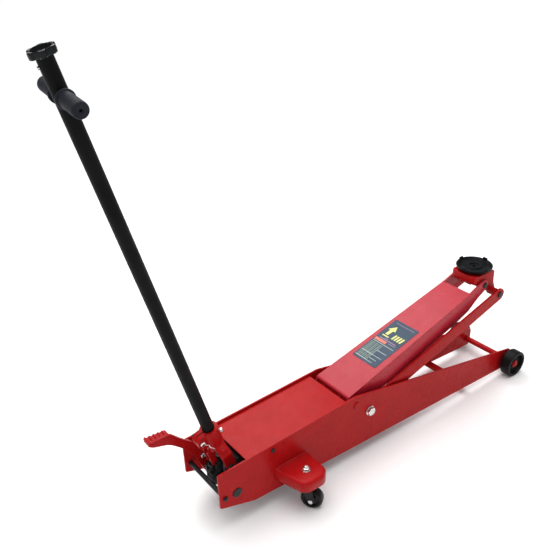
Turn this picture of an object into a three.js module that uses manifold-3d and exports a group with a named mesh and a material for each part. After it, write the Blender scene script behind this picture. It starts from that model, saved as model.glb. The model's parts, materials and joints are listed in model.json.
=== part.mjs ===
// Long-chassis hydraulic floor jack, built as an assembly of separate pieces.
// Millimetres, +Z up, +X from the handle end towards the saddle, +Y to the side that carries the foot pedal.
// Pieces are laid out with x = 0 at the rear edge of the side plates, then moved so that the centre of the
// whole jack stands over the origin.

import * as THREE from 'three';
import { mergeVertices } from 'three/addons/utils/BufferGeometryUtils.js';
import Module from 'manifold-3d';

const wasm = await Module();
wasm.setup();

// ---------- driving dimensions ----------

const GAP = 0.3;                 // clearance between pieces that bear on each other
const ORIGIN_X = 500.96;         // x of the centre of the whole jack

const PLATE_OUT = 90;            // half of the width over the side plates
const PLATE_T = 5;
const PLATE_IN = PLATE_OUT - PLATE_T;

const ARM_PIVOT = [482, 198];
const ARM_TIP = [1080.3, 378.6];
const LINK_DX = 56;              // link pivots stand forward of the arm pivots by this much
const LINK_DZ = -45;             // and below them by this much
const LINK_REAR = [ARM_PIVOT[0] + LINK_DX, ARM_PIVOT[1] + LINK_DZ];
const LINK_FRONT = [ARM_TIP[0] + LINK_DX, ARM_TIP[1] + LINK_DZ];
const ARM_PIVOT_R = 11;
const TIP_PIN_R = 7;
const LINK_PIN_R = 8;
const LINK_IN = 73.2;            // inner face of the link bars
const LINK_OUT = 80;
const LINK_HALF_DEPTH = 23.2;

const LEVER_PIN = [471.1, 126.8];
const LEVER_PIN_R = 10;
const RAM_Z = 132;

const FRONT_AXLE = [1215.65, 47.3];
const FRONT_WHEEL_R = 47.3;
const FRONT_WHEEL_IN = 101;
const FRONT_WHEEL_OUT = 137;
const AXLE_R = 8;
const AXLE_TUBE_R = 10.2;        // between the side plates

const MAIN_SHAFT = [55.7, 119.7];
const MAIN_SHAFT_R = 12;
const MAIN_SHAFT_END_R = 14;
const STAY_ROD = [17.9, 121.2];
const TIE_ROD = [175.5, 198];

const HANDLE_PIVOT = [65.9, 176];
const HANDLE_LEAN = THREE.MathUtils.degToRad(15.32);
const TUBE_R = 16.5;
const TUBE_BORE_R = 13.5;
const TUBE_BOTTOM = 62.4;        // distances along the handle are measured from its pivot
const TUBE_TOP = 1122;
const SOCKET_TOP = 117.2;
const SOCKET_R = 25.5;
const KNOB_BOTTOM = 1122.4;
const KNOB_TOP = 1136.4;
const KNOB_R = 28;
const KNOB_LOBES = 6;
const KNOB_SCREW = 1106;
const GRIP_HEIGHT = 1045;
const GRIP_TURN = THREE.MathUtils.degToRad(6.26);
const GRIP_END = 111.5;
const ROLLER_BACK = 24;          // pump roller stands this far behind the handle pivot
const ROLLER_R = 8;

const PUMP_PISTON_X = 37;
const VALVE_REACH = 25;          // start of the valve spindle below the handle pivot

const SADDLE = [1087, 433];
const SADDLE_R = 59.5;

const CASTER_STUD = [247.5, 143];
const CASTER_TOP = 126;
const CASTER_TRAIL = 18;
const CASTER_AZIMUTH = THREE.MathUtils.degToRad(55);
const CASTER_R = 32;
const CASTER_W = 30;
const CASTER_AXLE_R = 4;

// ---------- colours ----------

const RED = { color: 0xb3191d, roughness: 0.32, metalness: 0.1 };
const BLACK = { color: 0x141416, roughness: 0.45, metalness: 0.3 };
const CHROME = { color: 0xc8c8c8, roughness: 0.2, metalness: 1 };
const STEEL = { color: 0x8f9194, roughness: 0.35, metalness: 1 };
const IRON = { color: 0x26262a, roughness: 0.6, metalness: 0.5 };
const RUBBER = { color: 0x1c1e24, roughness: 0.8, metalness: 0 };
const PLASTIC = { color: 0x101012, roughness: 0.5, metalness: 0 };
const LABEL = { color: 0x35434e, roughness: 0.5, metalness: 0 };

// ---------- helpers ----------

const group = new THREE.Group();
group.name = 'hydraulic_floor_jack';

const AXIS_X = new THREE.Vector3(1, 0, 0);
const AXIS_Y = new THREE.Vector3(0, 1, 0);
const AXIS_Z = new THREE.Vector3(0, 0, 1);

// A closed body for boolean work, from any closed three.js geometry.
function body(geometry) {
  const bare = geometry.clone();
  bare.deleteAttribute('normal');
  bare.deleteAttribute('uv');
  const merged = mergeVertices(bare, 1e-4);
  const index = merged.index.array;
  const kept = [];
  for (let i = 0; i < index.length; i += 3) {
    const [a, b, c] = [index[i], index[i + 1], index[i + 2]];
    if (a !== b && b !== c && c !== a) {
      kept.push(a, b, c);
    }
  }
  return new wasm.Manifold(new wasm.Mesh({
    numProp: 3,
    vertProperties: new Float32Array(merged.attributes.position.array),
    triVerts: new Uint32Array(kept),
  }));
}

function union(...bodies) {
  return bodies.reduce((sum, next) => sum.add(next));
}

function cut(base, ...tools) {
  return tools.reduce((rest, tool) => rest.subtract(tool), base);
}

// Loop of [a, b] corners with each corner rounded by its own radius.
function rounded(corners, radii, steps = 2) {
  const loop = [];
  const count = corners.length;
  for (let i = 0; i < count; i += 1) {
    const p = new THREE.Vector2(...corners[i]);
    const before = new THREE.Vector2(...corners[(i + count - 1) % count]).sub(p);
    const after = new THREE.Vector2(...corners[(i + 1) % count]).sub(p);
    const radius = Array.isArray(radii) ? radii[i] : radii;
    const half = Math.acos(before.clone().normalize().dot(after.clone().normalize())) / 2;
    const reach = Math.min(radius / Math.tan(half), before.length() * 0.49, after.length() * 0.49);
    if (radius < 0.01) {
      loop.push(p);
      continue;
    }
    const start = p.clone().add(before.setLength(reach));
    const end = p.clone().add(after.setLength(reach));
    for (let k = 0; k <= steps; k += 1) {
      const t = k / steps;
      loop.push(new THREE.Vector2(
        (1 - t) ** 2 * start.x + 2 * t * (1 - t) * p.x + t * t * end.x,
        (1 - t) ** 2 * start.y + 2 * t * (1 - t) * p.y + t * t * end.y,
      ));
    }
  }
  return loop;
}

function sharp(corners) {
  return corners.map(([a, b]) => new THREE.Vector2(a, b));
}

// Outline of two discs joined by straight sides.
function capsule([ax, ay], ra, [bx, by], rb, steps = 7) {
  const direction = Math.atan2(by - ay, bx - ax);
  const spread = Math.acos((ra - rb) / Math.hypot(bx - ax, by - ay));
  const loop = [];
  for (let k = 0; k <= steps; k += 1) {
    const angle = direction + spread + (2 * Math.PI - 2 * spread) * (k / steps);
    loop.push(new THREE.Vector2(ax + ra * Math.cos(angle), ay + ra * Math.sin(angle)));
  }
  for (let k = 0; k <= steps; k += 1) {
    const angle = direction - spread + 2 * spread * (k / steps);
    loop.push(new THREE.Vector2(bx + rb * Math.cos(angle), by + rb * Math.sin(angle)));
  }
  return loop;
}

function hexagon(acrossFlats, turn = 0) {
  const radius = acrossFlats / Math.sqrt(3);
  return Array.from({ length: 6 }, (unused, k) => {
    const angle = turn + k * Math.PI / 3;
    return new THREE.Vector2(radius * Math.cos(angle), radius * Math.sin(angle));
  });
}

function circle(radius, steps = 24) {
  return Array.from({ length: steps }, (unused, k) => {
    const angle = k * 2 * Math.PI / steps;
    return new THREE.Vector2(radius * Math.cos(angle), radius * Math.sin(angle));
  });
}

// Straight prism of an (x, y) loop, from z = 0 to the given height.
function prism(loop, height) {
  return new THREE.ExtrudeGeometry(new THREE.Shape(loop), { depth: height, bevelEnabled: false });
}

// Prism of an (x, z) loop between two y planes.
function slabY(loop, yFrom, yTo) {
  const geometry = prism(loop, yTo - yFrom);
  geometry.rotateX(Math.PI / 2);
  geometry.translate(0, yTo, 0);
  return body(geometry);
}

// Prism of a (y, z) loop between two x planes.
function slabX(loop, xFrom, xTo) {
  const geometry = prism(loop, xTo - xFrom);
  geometry.applyMatrix4(new THREE.Matrix4().makeBasis(AXIS_Y, AXIS_Z, AXIS_X));
  geometry.translate(xFrom, 0, 0);
  return body(geometry);
}

// Prism of an (x, y) loop between two z planes.
function slabZ(loop, zFrom, zTo) {
  const geometry = prism(loop, zTo - zFrom);
  geometry.translate(0, 0, zFrom);
  return body(geometry);
}

function block(xFrom, xTo, yFrom, yTo, zFrom, zTo) {
  const geometry = new THREE.BoxGeometry(xTo - xFrom, yTo - yFrom, zTo - zFrom);
  geometry.translate((xFrom + xTo) / 2, (yFrom + yTo) / 2, (zFrom + zTo) / 2);
  return body(geometry);
}

// Turned body about the z axis: profile of [radius, z] from the axis at the bottom to the axis at the top.
function turned(profile, segments = 12) {
  return body(new THREE.LatheGeometry(sharp(profile), segments));
}

function turnedZ(profile, segments = 12) {
  const geometry = new THREE.LatheGeometry(sharp(profile), segments);
  geometry.rotateX(Math.PI / 2);
  return body(geometry);
}

// Turned body about a line parallel to y through (x, z); the profile gives [radius, y].
function turnedY(profile, [x, z], segments = 12) {
  return turned(profile, segments).translate([x, 0, z]);
}

// Turned body about a line parallel to x at height z; the profile gives [radius, x].
function turnedX(profile, z, segments = 24) {
  const geometry = new THREE.LatheGeometry(sharp(profile), segments);
  geometry.rotateZ(-Math.PI / 2);
  geometry.translate(0, 0, z);
  return body(geometry);
}

function rodY(radius, yFrom, yTo, centre, segments = 12) {
  return turnedY([[0, yFrom], [radius, yFrom], [radius, yTo], [0, yTo]], centre, segments);
}

function rodZ(radius, zFrom, zTo, [x, y] = [0, 0], segments = 12) {
  return turnedZ([[0, zFrom], [radius, zFrom], [radius, zTo], [0, zTo]], segments).translate([x, y, 0]);
}

// Clearance holes for a round piece of the given radius: the flats of the hole stay clear of it all round.
function boreY(radius, yFrom, yTo, centre, segments = 12) {
  return rodY((radius + GAP) / Math.cos(Math.PI / segments), yFrom, yTo, centre, segments);
}

function boreZ(radius, zFrom, zTo, centre = [0, 0], segments = 12) {
  return rodZ((radius + GAP) / Math.cos(Math.PI / segments), zFrom, zTo, centre, segments);
}

// Rod whose two ends are slightly chamfered.
function pinY(radius, yFrom, yTo, centre, chamfer = 1, segments = 12) {
  return turnedY([
    [0, yFrom], [radius - chamfer, yFrom], [radius, yFrom + chamfer],
    [radius, yTo - chamfer], [radius - chamfer, yTo], [0, yTo],
  ], centre, segments);
}

function hexY(acrossFlats, yFrom, yTo, [x, z], turn = 0.2) {
  return slabY(hexagon(acrossFlats, turn), yFrom, yTo).translate([x, 0, z]);
}

// The same body on the other side of the jack.
function mirrored(shape) {
  return shape.mirror([0, 1, 0]);
}

function geometryOf(shape) {
  const mesh = shape.getMesh();
  const geometry = new THREE.BufferGeometry();
  geometry.setAttribute('position', new THREE.BufferAttribute(new Float32Array(mesh.vertProperties), 3));
  geometry.setIndex(new THREE.BufferAttribute(new Uint32Array(mesh.triVerts), 1));
  const flat = geometry.toNonIndexed();
  flat.computeVertexNormals();
  return flat;
}

function add(name, look, shape) {
  const mesh = new THREE.Mesh(geometryOf(shape), new THREE.MeshStandardMaterial(look));
  mesh.name = name;
  group.add(mesh);
  return mesh;
}

function addPair(name, look, near) {
  add(`${name}_near`, look, near);
  add(`${name}_far`, look, mirrored(near));
}

// ---------- side plates and the members between them ----------

const plateLoop = rounded(
  [
    [0, 206.8], [2, 93.4], [112.5, 57.2], [1191, 17.5], [1227, 17.5],
    [1236.6, 26], [1236.6, 78], [1230, 85.3], [1165, 97.7], [480.5, 230.2],
  ],
  [3, 4, 30, 10, 5, 6, 5, 5, 30, 60],
);
const plateHoles = [
  [STAY_ROD, 4],
  [MAIN_SHAFT, MAIN_SHAFT_END_R],
  [TIE_ROD, 4],
  [ARM_PIVOT, ARM_PIVOT_R],
  [LINK_REAR, LINK_PIN_R],
  [FRONT_AXLE, AXLE_R],
].map(([centre, radius]) => boreY(radius, -PLATE_OUT - 1, -PLATE_IN + 1, centre));
addPair('side_plate', RED, cut(slabY(plateLoop, -PLATE_OUT, -PLATE_IN), ...plateHoles));

const crossBarLoop = rounded([[985, 25], [1015, 25], [1015, 33], [985, 33]], 2);
add('front_cross_bar', RED, slabY(crossBarLoop, -PLATE_IN + GAP, PLATE_IN - GAP));

// The cover runs parallel to the upper edge of the side plates, a little below it.
const coverTop = (x) => 199.4 + 23.4 * x / 480.5;
const coverStrip = (from, to, depth) => sharp([
  [from, coverTop(from)], [to, coverTop(to)], [to, coverTop(to) - depth], [from, coverTop(from) - depth],
]);
const coverEdge = PLATE_IN - GAP;
add('cover_plate', RED, cut(
  union(
    slabY(coverStrip(95, 448, 3), -coverEdge, coverEdge),
    slabY(coverStrip(100, 440, 16), -coverEdge, -coverEdge + 3),
    slabY(coverStrip(100, 440, 16), coverEdge - 3, coverEdge),
  ),
  boreY(4, -coverEdge - 1, coverEdge + 1, TIE_ROD),
));

add('cover_tie_rod', BLACK, turnedY([
  [0, -95], [5, -95], [7, -92.5], [7, -90.3], [4, -90.3], [4, 90.3], [7, 90.3], [7, 92.5], [5, 95], [0, 95],
], TIE_ROD));

add('rear_stay_rod', BLACK, turnedY([
  [0, -97], [7.6, -94], [7.6, -90.3], [4, -90.3], [4, -84.6], [7, -84.6],
  [7, 84.6], [4, 84.6], [4, 90.3], [7.6, 90.3], [7.6, 94], [0, 97],
], STAY_ROD));

add('main_shaft', BLACK, turnedY([
  [0, -92], [MAIN_SHAFT_END_R, -92], [MAIN_SHAFT_END_R, -80], [MAIN_SHAFT_R, -80],
  [MAIN_SHAFT_R, 80], [MAIN_SHAFT_END_R, 80], [MAIN_SHAFT_END_R, 92], [0, 92],
], MAIN_SHAFT, 16));

add('arm_pivot_shaft', RED, pinY(ARM_PIVOT_R, -93, 93, ARM_PIVOT, 1.5));

const axleHalf = [
  [AXLE_R, -134], [AXLE_R, -130.5], [13, -130.5], [13, -127.3], [AXLE_R, -127.3],
  [AXLE_R, -FRONT_WHEEL_IN + GAP], [14, -FRONT_WHEEL_IN + GAP],
  [14, -PLATE_OUT - GAP], [AXLE_R, -PLATE_OUT - GAP],
  [AXLE_R, -PLATE_IN + GAP], [AXLE_TUBE_R, -PLATE_IN + GAP],
];
add('front_axle', RED, turnedY([
  [0, -134], ...axleHalf, ...axleHalf.map(([r, y]) => [r, -y]).reverse(), [0, 134],
], FRONT_AXLE));

// ---------- front wheels ----------

const wheelHalf = cut(
  turnedY([
    [0, -127], [16, -127], [17, -124.5], [35, -124.5], [38, -FRONT_WHEEL_OUT],
    [44.5, -FRONT_WHEEL_OUT], [FRONT_WHEEL_R, -134], [FRONT_WHEEL_R, -104],
    [44.5, -FRONT_WHEEL_IN], [38, -FRONT_WHEEL_IN], [35, -113],
    [16, -113], [16, -FRONT_WHEEL_IN], [0, -FRONT_WHEEL_IN],
  ], FRONT_AXLE, 20),
  boreY(AXLE_R, -140, -90, FRONT_AXLE),
);
addPair('front_wheel', PLASTIC, wheelHalf);

// ---------- casters ----------

const bracketOuter = rounded(
  [[178, -90.3], [190, -128], [206, -180], [226, -190], [276, -190], [297, -170], [297, -90.3]],
  [0, 20, 14, 14, 16, 12, 0],
);
const bracketInner = rounded(
  [[184.5, -89], [195.5, -129], [211.5, -176.5], [229, -185], [273, -185], [292, -167.5], [292, -89]],
  [0, 20, 11, 11, 13, 9, 0],
);
const shoulder = new THREE.ExtrudeGeometry(new THREE.Shape(rounded(
  [[168.4, -60], [190, -128], [206, -180], [226, -190], [276, -190], [297, -170], [297, -60]],
  [0, 20, 14, 14, 16, 12, 0],
)), { depth: 60, bevelEnabled: true, bevelSize: 6, bevelThickness: 6, bevelOffset: -6, bevelSegments: 1 });
shoulder.translate(0, 0, CASTER_TOP - 66);
const casterBracket = cut(
  slabZ(bracketOuter, 93, CASTER_TOP).intersect(body(shoulder)),
  slabZ(bracketInner, 86, CASTER_TOP - 5),
  rodZ(6.4, 90, 130, [CASTER_STUD[0], -CASTER_STUD[1]]),
  block(160, 310, -PLATE_OUT - GAP, -80, 80, 140),
);
addPair('caster_bracket', RED, casterBracket);

// The yoke is drawn with its swivel axis on z and its wheel trailing towards +x.
const yokeCentre = [CASTER_TRAIL, CASTER_R];
const forkLoop = rounded(
  [[-11, 84], [-11, 76], [CASTER_TRAIL - 10, 30], [CASTER_TRAIL - 8, 20], [CASTER_TRAIL + 8, 20],
    [CASTER_TRAIL + 11, 30], [20, 84]],
  [0, 8, 6, 7, 7, 8, 0],
);
const forkIn = CASTER_W / 2 + 1.5;
const casterYoke = cut(
  union(
    slabY(forkLoop, forkIn, forkIn + 3),
    slabY(forkLoop, -forkIn - 3, -forkIn),
    slabZ(rounded([[-14, -19.5], [21, -19.5], [21, 19.5], [-14, 19.5]], 6), 81, 85),
    turnedZ([[0, 81], [19, 81], [19, 93], [15, 93], [15, CASTER_TOP - 5 - GAP], [0, CASTER_TOP - 5 - GAP]]),
  ),
  boreY(CASTER_AXLE_R, -30, 30, yokeCentre),
  boreZ(6, 70, 130),
);
const casterAxle = union(
  rodY(CASTER_AXLE_R, -forkIn - 8, forkIn + 3.5, yokeCentre),
  hexY(12, forkIn + 3.3, forkIn + 8.5, yokeCentre),
  hexY(12, -forkIn - 7, -forkIn - 3.3, yokeCentre),
);
const casterWheel = cut(
  turnedY([
    [0, -CASTER_W / 2 - 1], [9, -CASTER_W / 2 - 1], [9, -9], [20, -9], [21, -CASTER_W / 2],
    [26, -CASTER_W / 2], [CASTER_R, -9], [CASTER_R, 9], [26, CASTER_W / 2],
    [21, CASTER_W / 2], [20, 9], [9, 9], [9, CASTER_W / 2 + 1], [0, CASTER_W / 2 + 1],
  ], yokeCentre, 16),
  boreY(CASTER_AXLE_R, -20, 20, yokeCentre),
);
const casterStud = union(
  turnedZ([
    [0, 74], [9, 74], [9, 80.6], [6, 80.6], [6, CASTER_TOP + GAP], [12, CASTER_TOP + GAP],
    [12, CASTER_TOP + 2.3], [6, CASTER_TOP + 2.3], [6, CASTER_TOP + 14], [0, CASTER_TOP + 14],
  ]),
  slabZ(hexagon(18, 0.3), CASTER_TOP + 2, CASTER_TOP + 9),
);
const turnDegrees = -THREE.MathUtils.radToDeg(CASTER_AZIMUTH);
const toStud = (shape) => shape.rotate([0, 0, turnDegrees]).translate([CASTER_STUD[0], -CASTER_STUD[1], 0]);
addPair('caster_yoke', BLACK, toStud(casterYoke));
addPair('caster_axle', CHROME, toStud(casterAxle));
addPair('caster_wheel', PLASTIC, toStud(casterWheel));
addPair('caster_stud', CHROME, toStud(casterStud));

// ---------- hydraulic unit ----------

// Pieces on the handle axis are drawn upright about the handle pivot, then leant back.
const leanDegrees = -THREE.MathUtils.radToDeg(HANDLE_LEAN);
const alongHandle = (shape) => (
  shape.rotate([0, leanDegrees, 0]).translate([HANDLE_PIVOT[0], 0, HANDLE_PIVOT[1]])
);

const pumpProfile = rounded(
  [[76, 89], [150, 84], [150, 180], [92, 180], [84, 150], [76, 148.7]],
  [4, 4, 4, 10, 6, 2],
);
const plungerBoss = rounded(
  [[27, 102], [80, 96], [80, 149], [54, 146], [50, 138], [27, 138]],
  [8, 0, 0, 3, 3, 4],
);
const shaftLug = rounded(
  [[37, 103], [90, 98], [90, 149], [54, 146], [50, 138], [37, 138]],
  [14, 0, 0, 3, 3, 8],
);
const earLoop = rounded(
  [[54, 140], [90, 140], [84, 176], [76, 188], [58, 188], [54, 182]],
  [0, 0, 8, 8, 6, 4],
);
const EAR_IN = 29;
const EAR_OUT = 39.2;
const BOSS_HALF = 14;
const pumpBody = cut(
  union(
    slabY(pumpProfile, -EAR_OUT, EAR_OUT),
    slabY(plungerBoss, -BOSS_HALF, BOSS_HALF),
    slabY(shaftLug, -EAR_OUT, -EAR_IN),
    slabY(shaftLug, EAR_IN, EAR_OUT),
    slabY(earLoop, -EAR_OUT, -EAR_IN),
    slabY(earLoop, EAR_IN, EAR_OUT),
    alongHandle(rodZ(11, -VALVE_REACH - 40, -VALVE_REACH + 2)),
  ),
  block(50, 91, -EAR_IN, EAR_IN, 152, 200),
  boreY(MAIN_SHAFT_R, -60, 60, MAIN_SHAFT),
  boreY(6, -60, 60, HANDLE_PIVOT),
  boreZ(4.5, 110, 150, [PUMP_PISTON_X, 0]),
  alongHandle(boreZ(6, -VALVE_REACH - 30, -VALVE_REACH + 10)),
  turnedX([[0, 130], [22, 130], [22, 151], [0, 151]], RAM_Z),
);
add('pump_body', IRON, pumpBody);

const PISTON_TOP = HANDLE_PIVOT[1] - ROLLER_R - 0.9;
add('pump_piston', STEEL, turnedZ([
  [0, PISTON_TOP - 24], [4.5, PISTON_TOP - 24], [4.5, PISTON_TOP - 5],
  [9.9, PISTON_TOP - 5], [9.9, PISTON_TOP - 1], [9, PISTON_TOP], [0, PISTON_TOP],
], 16).translate([PUMP_PISTON_X, 0, 0]));

// Coil of round wire about the z axis.
function coil(radius, wire, zFrom, zTo, turns) {
  const stations = Math.round(turns * 9);
  const points = Array.from({ length: stations + 1 }, (unused, k) => {
    const t = k / stations;
    const angle = 2 * Math.PI * turns * t;
    return new THREE.Vector3(radius * Math.cos(angle), radius * Math.sin(angle), zFrom + (zTo - zFrom) * t);
  });
  return wireThrough(points, wire, stations, 5);
}

// Round wire along a smooth line through the points.
function wireThrough(points, wire, stations, sides = 6) {
  return body(new THREE.ExtrudeGeometry(new THREE.Shape(circle(wire, sides)), {
    steps: stations, bevelEnabled: false, extrudePath: new THREE.CatmullRomCurve3(points),
  }));
}

add('pump_spring', STEEL, coil(7, 1, 139.4, PISTON_TOP - 6.3, 4).translate([PUMP_PISTON_X, 0, 0]));

const CYLINDER_FROM = 130.5;
const CYLINDER_TO = 356;
add('ram_cylinder', STEEL, cut(
  turnedX([
    [0, CYLINDER_FROM], [21.7, CYLINDER_FROM], [21.7, 151], [28, 151], [28, CYLINDER_TO], [0, CYLINDER_TO],
  ], RAM_Z, 16),
  turnedX([[0, 120], [20, 120], [20, CYLINDER_TO + 1], [0, CYLINDER_TO + 1]], RAM_Z, 16),
));
add('reservoir_shell', IRON, cut(
  turnedX([[0, 151], [46, 151], [48, 153], [48, 344], [46, 346], [0, 346]], RAM_Z, 16),
  turnedX([[0, 150], [28 + GAP, 150], [28 + GAP, 156], [44, 156], [44, 340], [28 + GAP, 340],
    [28 + GAP, 347], [0, 347]], RAM_Z, 16),
  rodZ(5.3, RAM_Z + 30, RAM_Z + 60, [230, 0]),
));
add('filler_plug', STEEL, union(
  rodZ(5, RAM_Z + 44.5, RAM_Z + 48.4, [230, 0]),
  slabZ(hexagon(14), RAM_Z + 48.4, RAM_Z + 54).translate([230, 0, 0]),
));
add('gland_nut', STEEL, cut(
  turnedX([[0, CYLINDER_TO + GAP], [30, CYLINDER_TO + GAP], [30, 368], [27, 371], [0, 371]], RAM_Z, 16),
  turnedX([[0, 350], [14 + GAP, 350], [14 + GAP, 380], [0, 380]], RAM_Z, 16),
));

const CROSSHEAD_X = 471.75;
add('ram_rod', CHROME, turnedX([
  [0, 245], [18, 245], [19.7, 247], [19.7, 263], [18, 265], [14, 265], [14, CROSSHEAD_X - 28],
  [10, CROSSHEAD_X - 28], [10, CROSSHEAD_X - 17.5], [0, CROSSHEAD_X - 17.5],
], RAM_Z, 16));
const slotLoop = capsule([CROSSHEAD_X, RAM_Z - 8.2], 11.4, [CROSSHEAD_X, RAM_Z + 8.2], 11.4, 8);
add('crosshead', IRON, cut(
  slabY(rounded([
    [CROSSHEAD_X - 27.7, RAM_Z - 24], [CROSSHEAD_X + 18, RAM_Z - 30], [CROSSHEAD_X + 18, RAM_Z + 30],
    [CROSSHEAD_X - 27.7, RAM_Z + 24],
  ], 8), -25, 25),
  slabY(slotLoop, -26, 26),
  turnedX([[0, 400], [10 + GAP, 400], [10 + GAP, CROSSHEAD_X - 17], [0, CROSSHEAD_X - 17]], RAM_Z, 16),
));

// ---------- lift arm ----------

const armTop = [[467.3, 221.7], [1006.6, 372.3], [1072, 397.5]];
const armLoop = rounded(
  [
    armTop[0], armTop[1], armTop[2], [1098, 390], [1096, 366], [1082, 358.4], [1046, 338.5], [1006, 309],
    [942, 284.5], [600, 189], [520, 168], [480, 164], [452, 184],
  ],
  [8, 40, 14, 14, 14, 10, 10, 30, 60, 60, 30, 26, 22],
);
const ARM_WALL = 5.6;
const armHalf = (x) => 71.75 - 0.02535 * (x - 467.3);
const wedge = (inset) => slabZ(sharp([
  [430, -armHalf(430) + inset], [1110, -armHalf(1110) + inset],
  [1110, armHalf(1110) - inset], [430, armHalf(430) - inset],
]), 100, 450);
const slope = [armTop[1][0] - armTop[0][0], armTop[1][1] - armTop[0][1]];
const slopeLength = Math.hypot(...slope);
const underside = armTop.slice(0, 2).map(([x, z]) => [
  x + 5 * slope[1] / slopeLength, z - 5 * slope[0] / slopeLength,
]);
const inside = sharp([
  [underside[0][0] - 60, underside[0][1] - 60 * slope[1] / slope[0]], underside[1],
  [armTop[1][0], armTop[1][1]],
  [armTop[1][0] - 40 * slope[1] / slopeLength, armTop[1][1] + 40 * slope[0] / slopeLength],
  [1140, 460], [1140, 130], [400, 130],
]);
const ARM_TUBE_R = 17;
add('lift_arm', RED, cut(
  slabY(armLoop, -90, 90).intersect(wedge(0)),
  slabY(inside, -90, 90).intersect(wedge(ARM_WALL)),
  boreY(ARM_TUBE_R, -90, 90, ARM_PIVOT),
  boreY(TIP_PIN_R, -90, 90, ARM_TIP),
));

const leverLoop = capsule(ARM_PIVOT, 20.5, LEVER_PIN, 18);
add('arm_lever', RED, cut(
  union(
    rodY(ARM_TUBE_R, -71, 71, ARM_PIVOT, 16),
    slabY(leverLoop, 28, 38),
    slabY(leverLoop, -38, -28),
  ),
  boreY(ARM_PIVOT_R, -80, 80, ARM_PIVOT),
  boreY(LEVER_PIN_R, -50, 50, LEVER_PIN),
));
add('lever_pin', STEEL, turnedY([
  [0, -43], [LEVER_PIN_R, -43], [LEVER_PIN_R, 38.3], [13, 38.3], [13, 43], [0, 43],
], LEVER_PIN));

const labelFrom = 131;
const labelTo = 328;
const labelAt = (distance, lift) => [
  armTop[0][0] + (distance * slope[0] - lift * slope[1]) / slopeLength,
  armTop[0][1] + (distance * slope[1] + lift * slope[0]) / slopeLength,
];
add('label_plate', LABEL, slabY(sharp([
  labelAt(labelFrom, GAP), labelAt(labelTo, GAP), labelAt(labelTo, 1), labelAt(labelFrom, 1),
]), -47, 51));

// ---------- saddle bracket, saddle and links ----------

const [TIP_X, TIP_Z] = ARM_TIP;
const BRACKET_TOP = 415;
const bracketSide = rounded(
  [
    [1033, BRACKET_TOP], [1033, 388], [1054, 384], [1063, 366], [1078, 361], [1096, 366], [1112, 352],
    [1120, 330], [1134, 321], [1150, 328], [1150, 340], [1136, 372], [1134, BRACKET_TOP],
  ],
  [4, 6, 8, 10, 6, 8, 8, 10, 10, 8, 10, 30, 6],
);
const bossLoop = capsule([1121, 350], 9.5, LINK_FRONT, 12);
const bracketBoss = slabY(bossLoop, -72.9, -40);
add('saddle_bracket', RED, cut(
  union(
    slabY(bracketSide, -48, 48).intersect(slabZ(rounded(
      [[1033, -48], [1160, -48], [1160, 48], [1033, 48]], [12, 3, 3, 12],
    ), 300, 430)),
    bracketBoss,
    mirrored(bracketBoss),
  ),
  block(1043, 1170, -38, 38, 300, 400),
  boreY(TIP_PIN_R, -60, 60, ARM_TIP),
  boreY(LINK_PIN_R - 1, -90, 90, LINK_FRONT),
  boreZ(10, 380, 430, [SADDLE[0], 0]),
));
add('saddle_bracket_pin', BLACK, turnedY([
  [0, -61.5], [8, -61.5], [10, -56.8], [TIP_PIN_R, -56.8],
  [TIP_PIN_R, 56.8], [10, 56.8], [8, 61.5], [0, 61.5],
], ARM_TIP));

add('saddle', BLACK, union(
  turnedZ([
    [0, 388.5], [8.5, 388.5], [10, 390], [10, BRACKET_TOP + GAP], [25, BRACKET_TOP + GAP],
    [28, 420], [50, 421.5], [SADDLE_R, 427], [SADDLE_R, SADDLE[1]], [55, SADDLE[1]],
    [50, 427.5], [26, 425.8], [24, 430], [18, 430], [16, 426], [6, 426], [5, 421], [0, 421],
  ], 20).translate([SADDLE[0], 0, 0]),
  ...[0, 90, 180, 270].map((degrees) => block(53, 58.2, -8, 8, 428.5, 438.5)
    .rotate([0, 0, degrees]).translate([SADDLE[0], 0, 0])),
));
add('saddle_retaining_ring', STEEL, cut(
  rodZ(14, 391, 394, [SADDLE[0], 0]),
  boreZ(10, 380, 400, [SADDLE[0], 0]),
));

const linkBody = cut(
  slabY(capsule(LINK_REAR, LINK_HALF_DEPTH, LINK_FRONT, LINK_HALF_DEPTH - 2, 9), -LINK_OUT, -LINK_IN),
  boreY(LINK_PIN_R, -90, -60, LINK_REAR),
  boreY(13, -LINK_IN - 2.9, -60, LINK_REAR),
  boreY(LINK_PIN_R - 1, -90, -60, LINK_FRONT),
);
addPair('link', RED, linkBody);
addPair('link_pivot_bolt', CHROME, union(
  turnedY([
    [0, -103], [LINK_PIN_R, -103], [LINK_PIN_R, -92], [15.5, -92], [15.5, -90.3], [LINK_PIN_R, -90.3],
    [LINK_PIN_R, -84.7], [14, -84.7], [14, -80.3], [LINK_PIN_R, -80.3], [LINK_PIN_R, -LINK_IN - 2.6],
    [13, -LINK_IN - 2.6], [13, -LINK_IN], [0, -LINK_IN],
  ], LINK_REAR),
  hexY(24, -101, -91.9, LINK_REAR),
));
add('link_front_pin', BLACK, turnedY([
  [0, -84.4], [11, -84.4], [11, -LINK_OUT - GAP], [LINK_PIN_R - 1, -LINK_OUT - GAP],
  [LINK_PIN_R - 1, LINK_OUT + GAP], [11, LINK_OUT + GAP], [11, 84.4], [0, 84.4],
], LINK_FRONT));

// ---------- handle ----------

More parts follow.
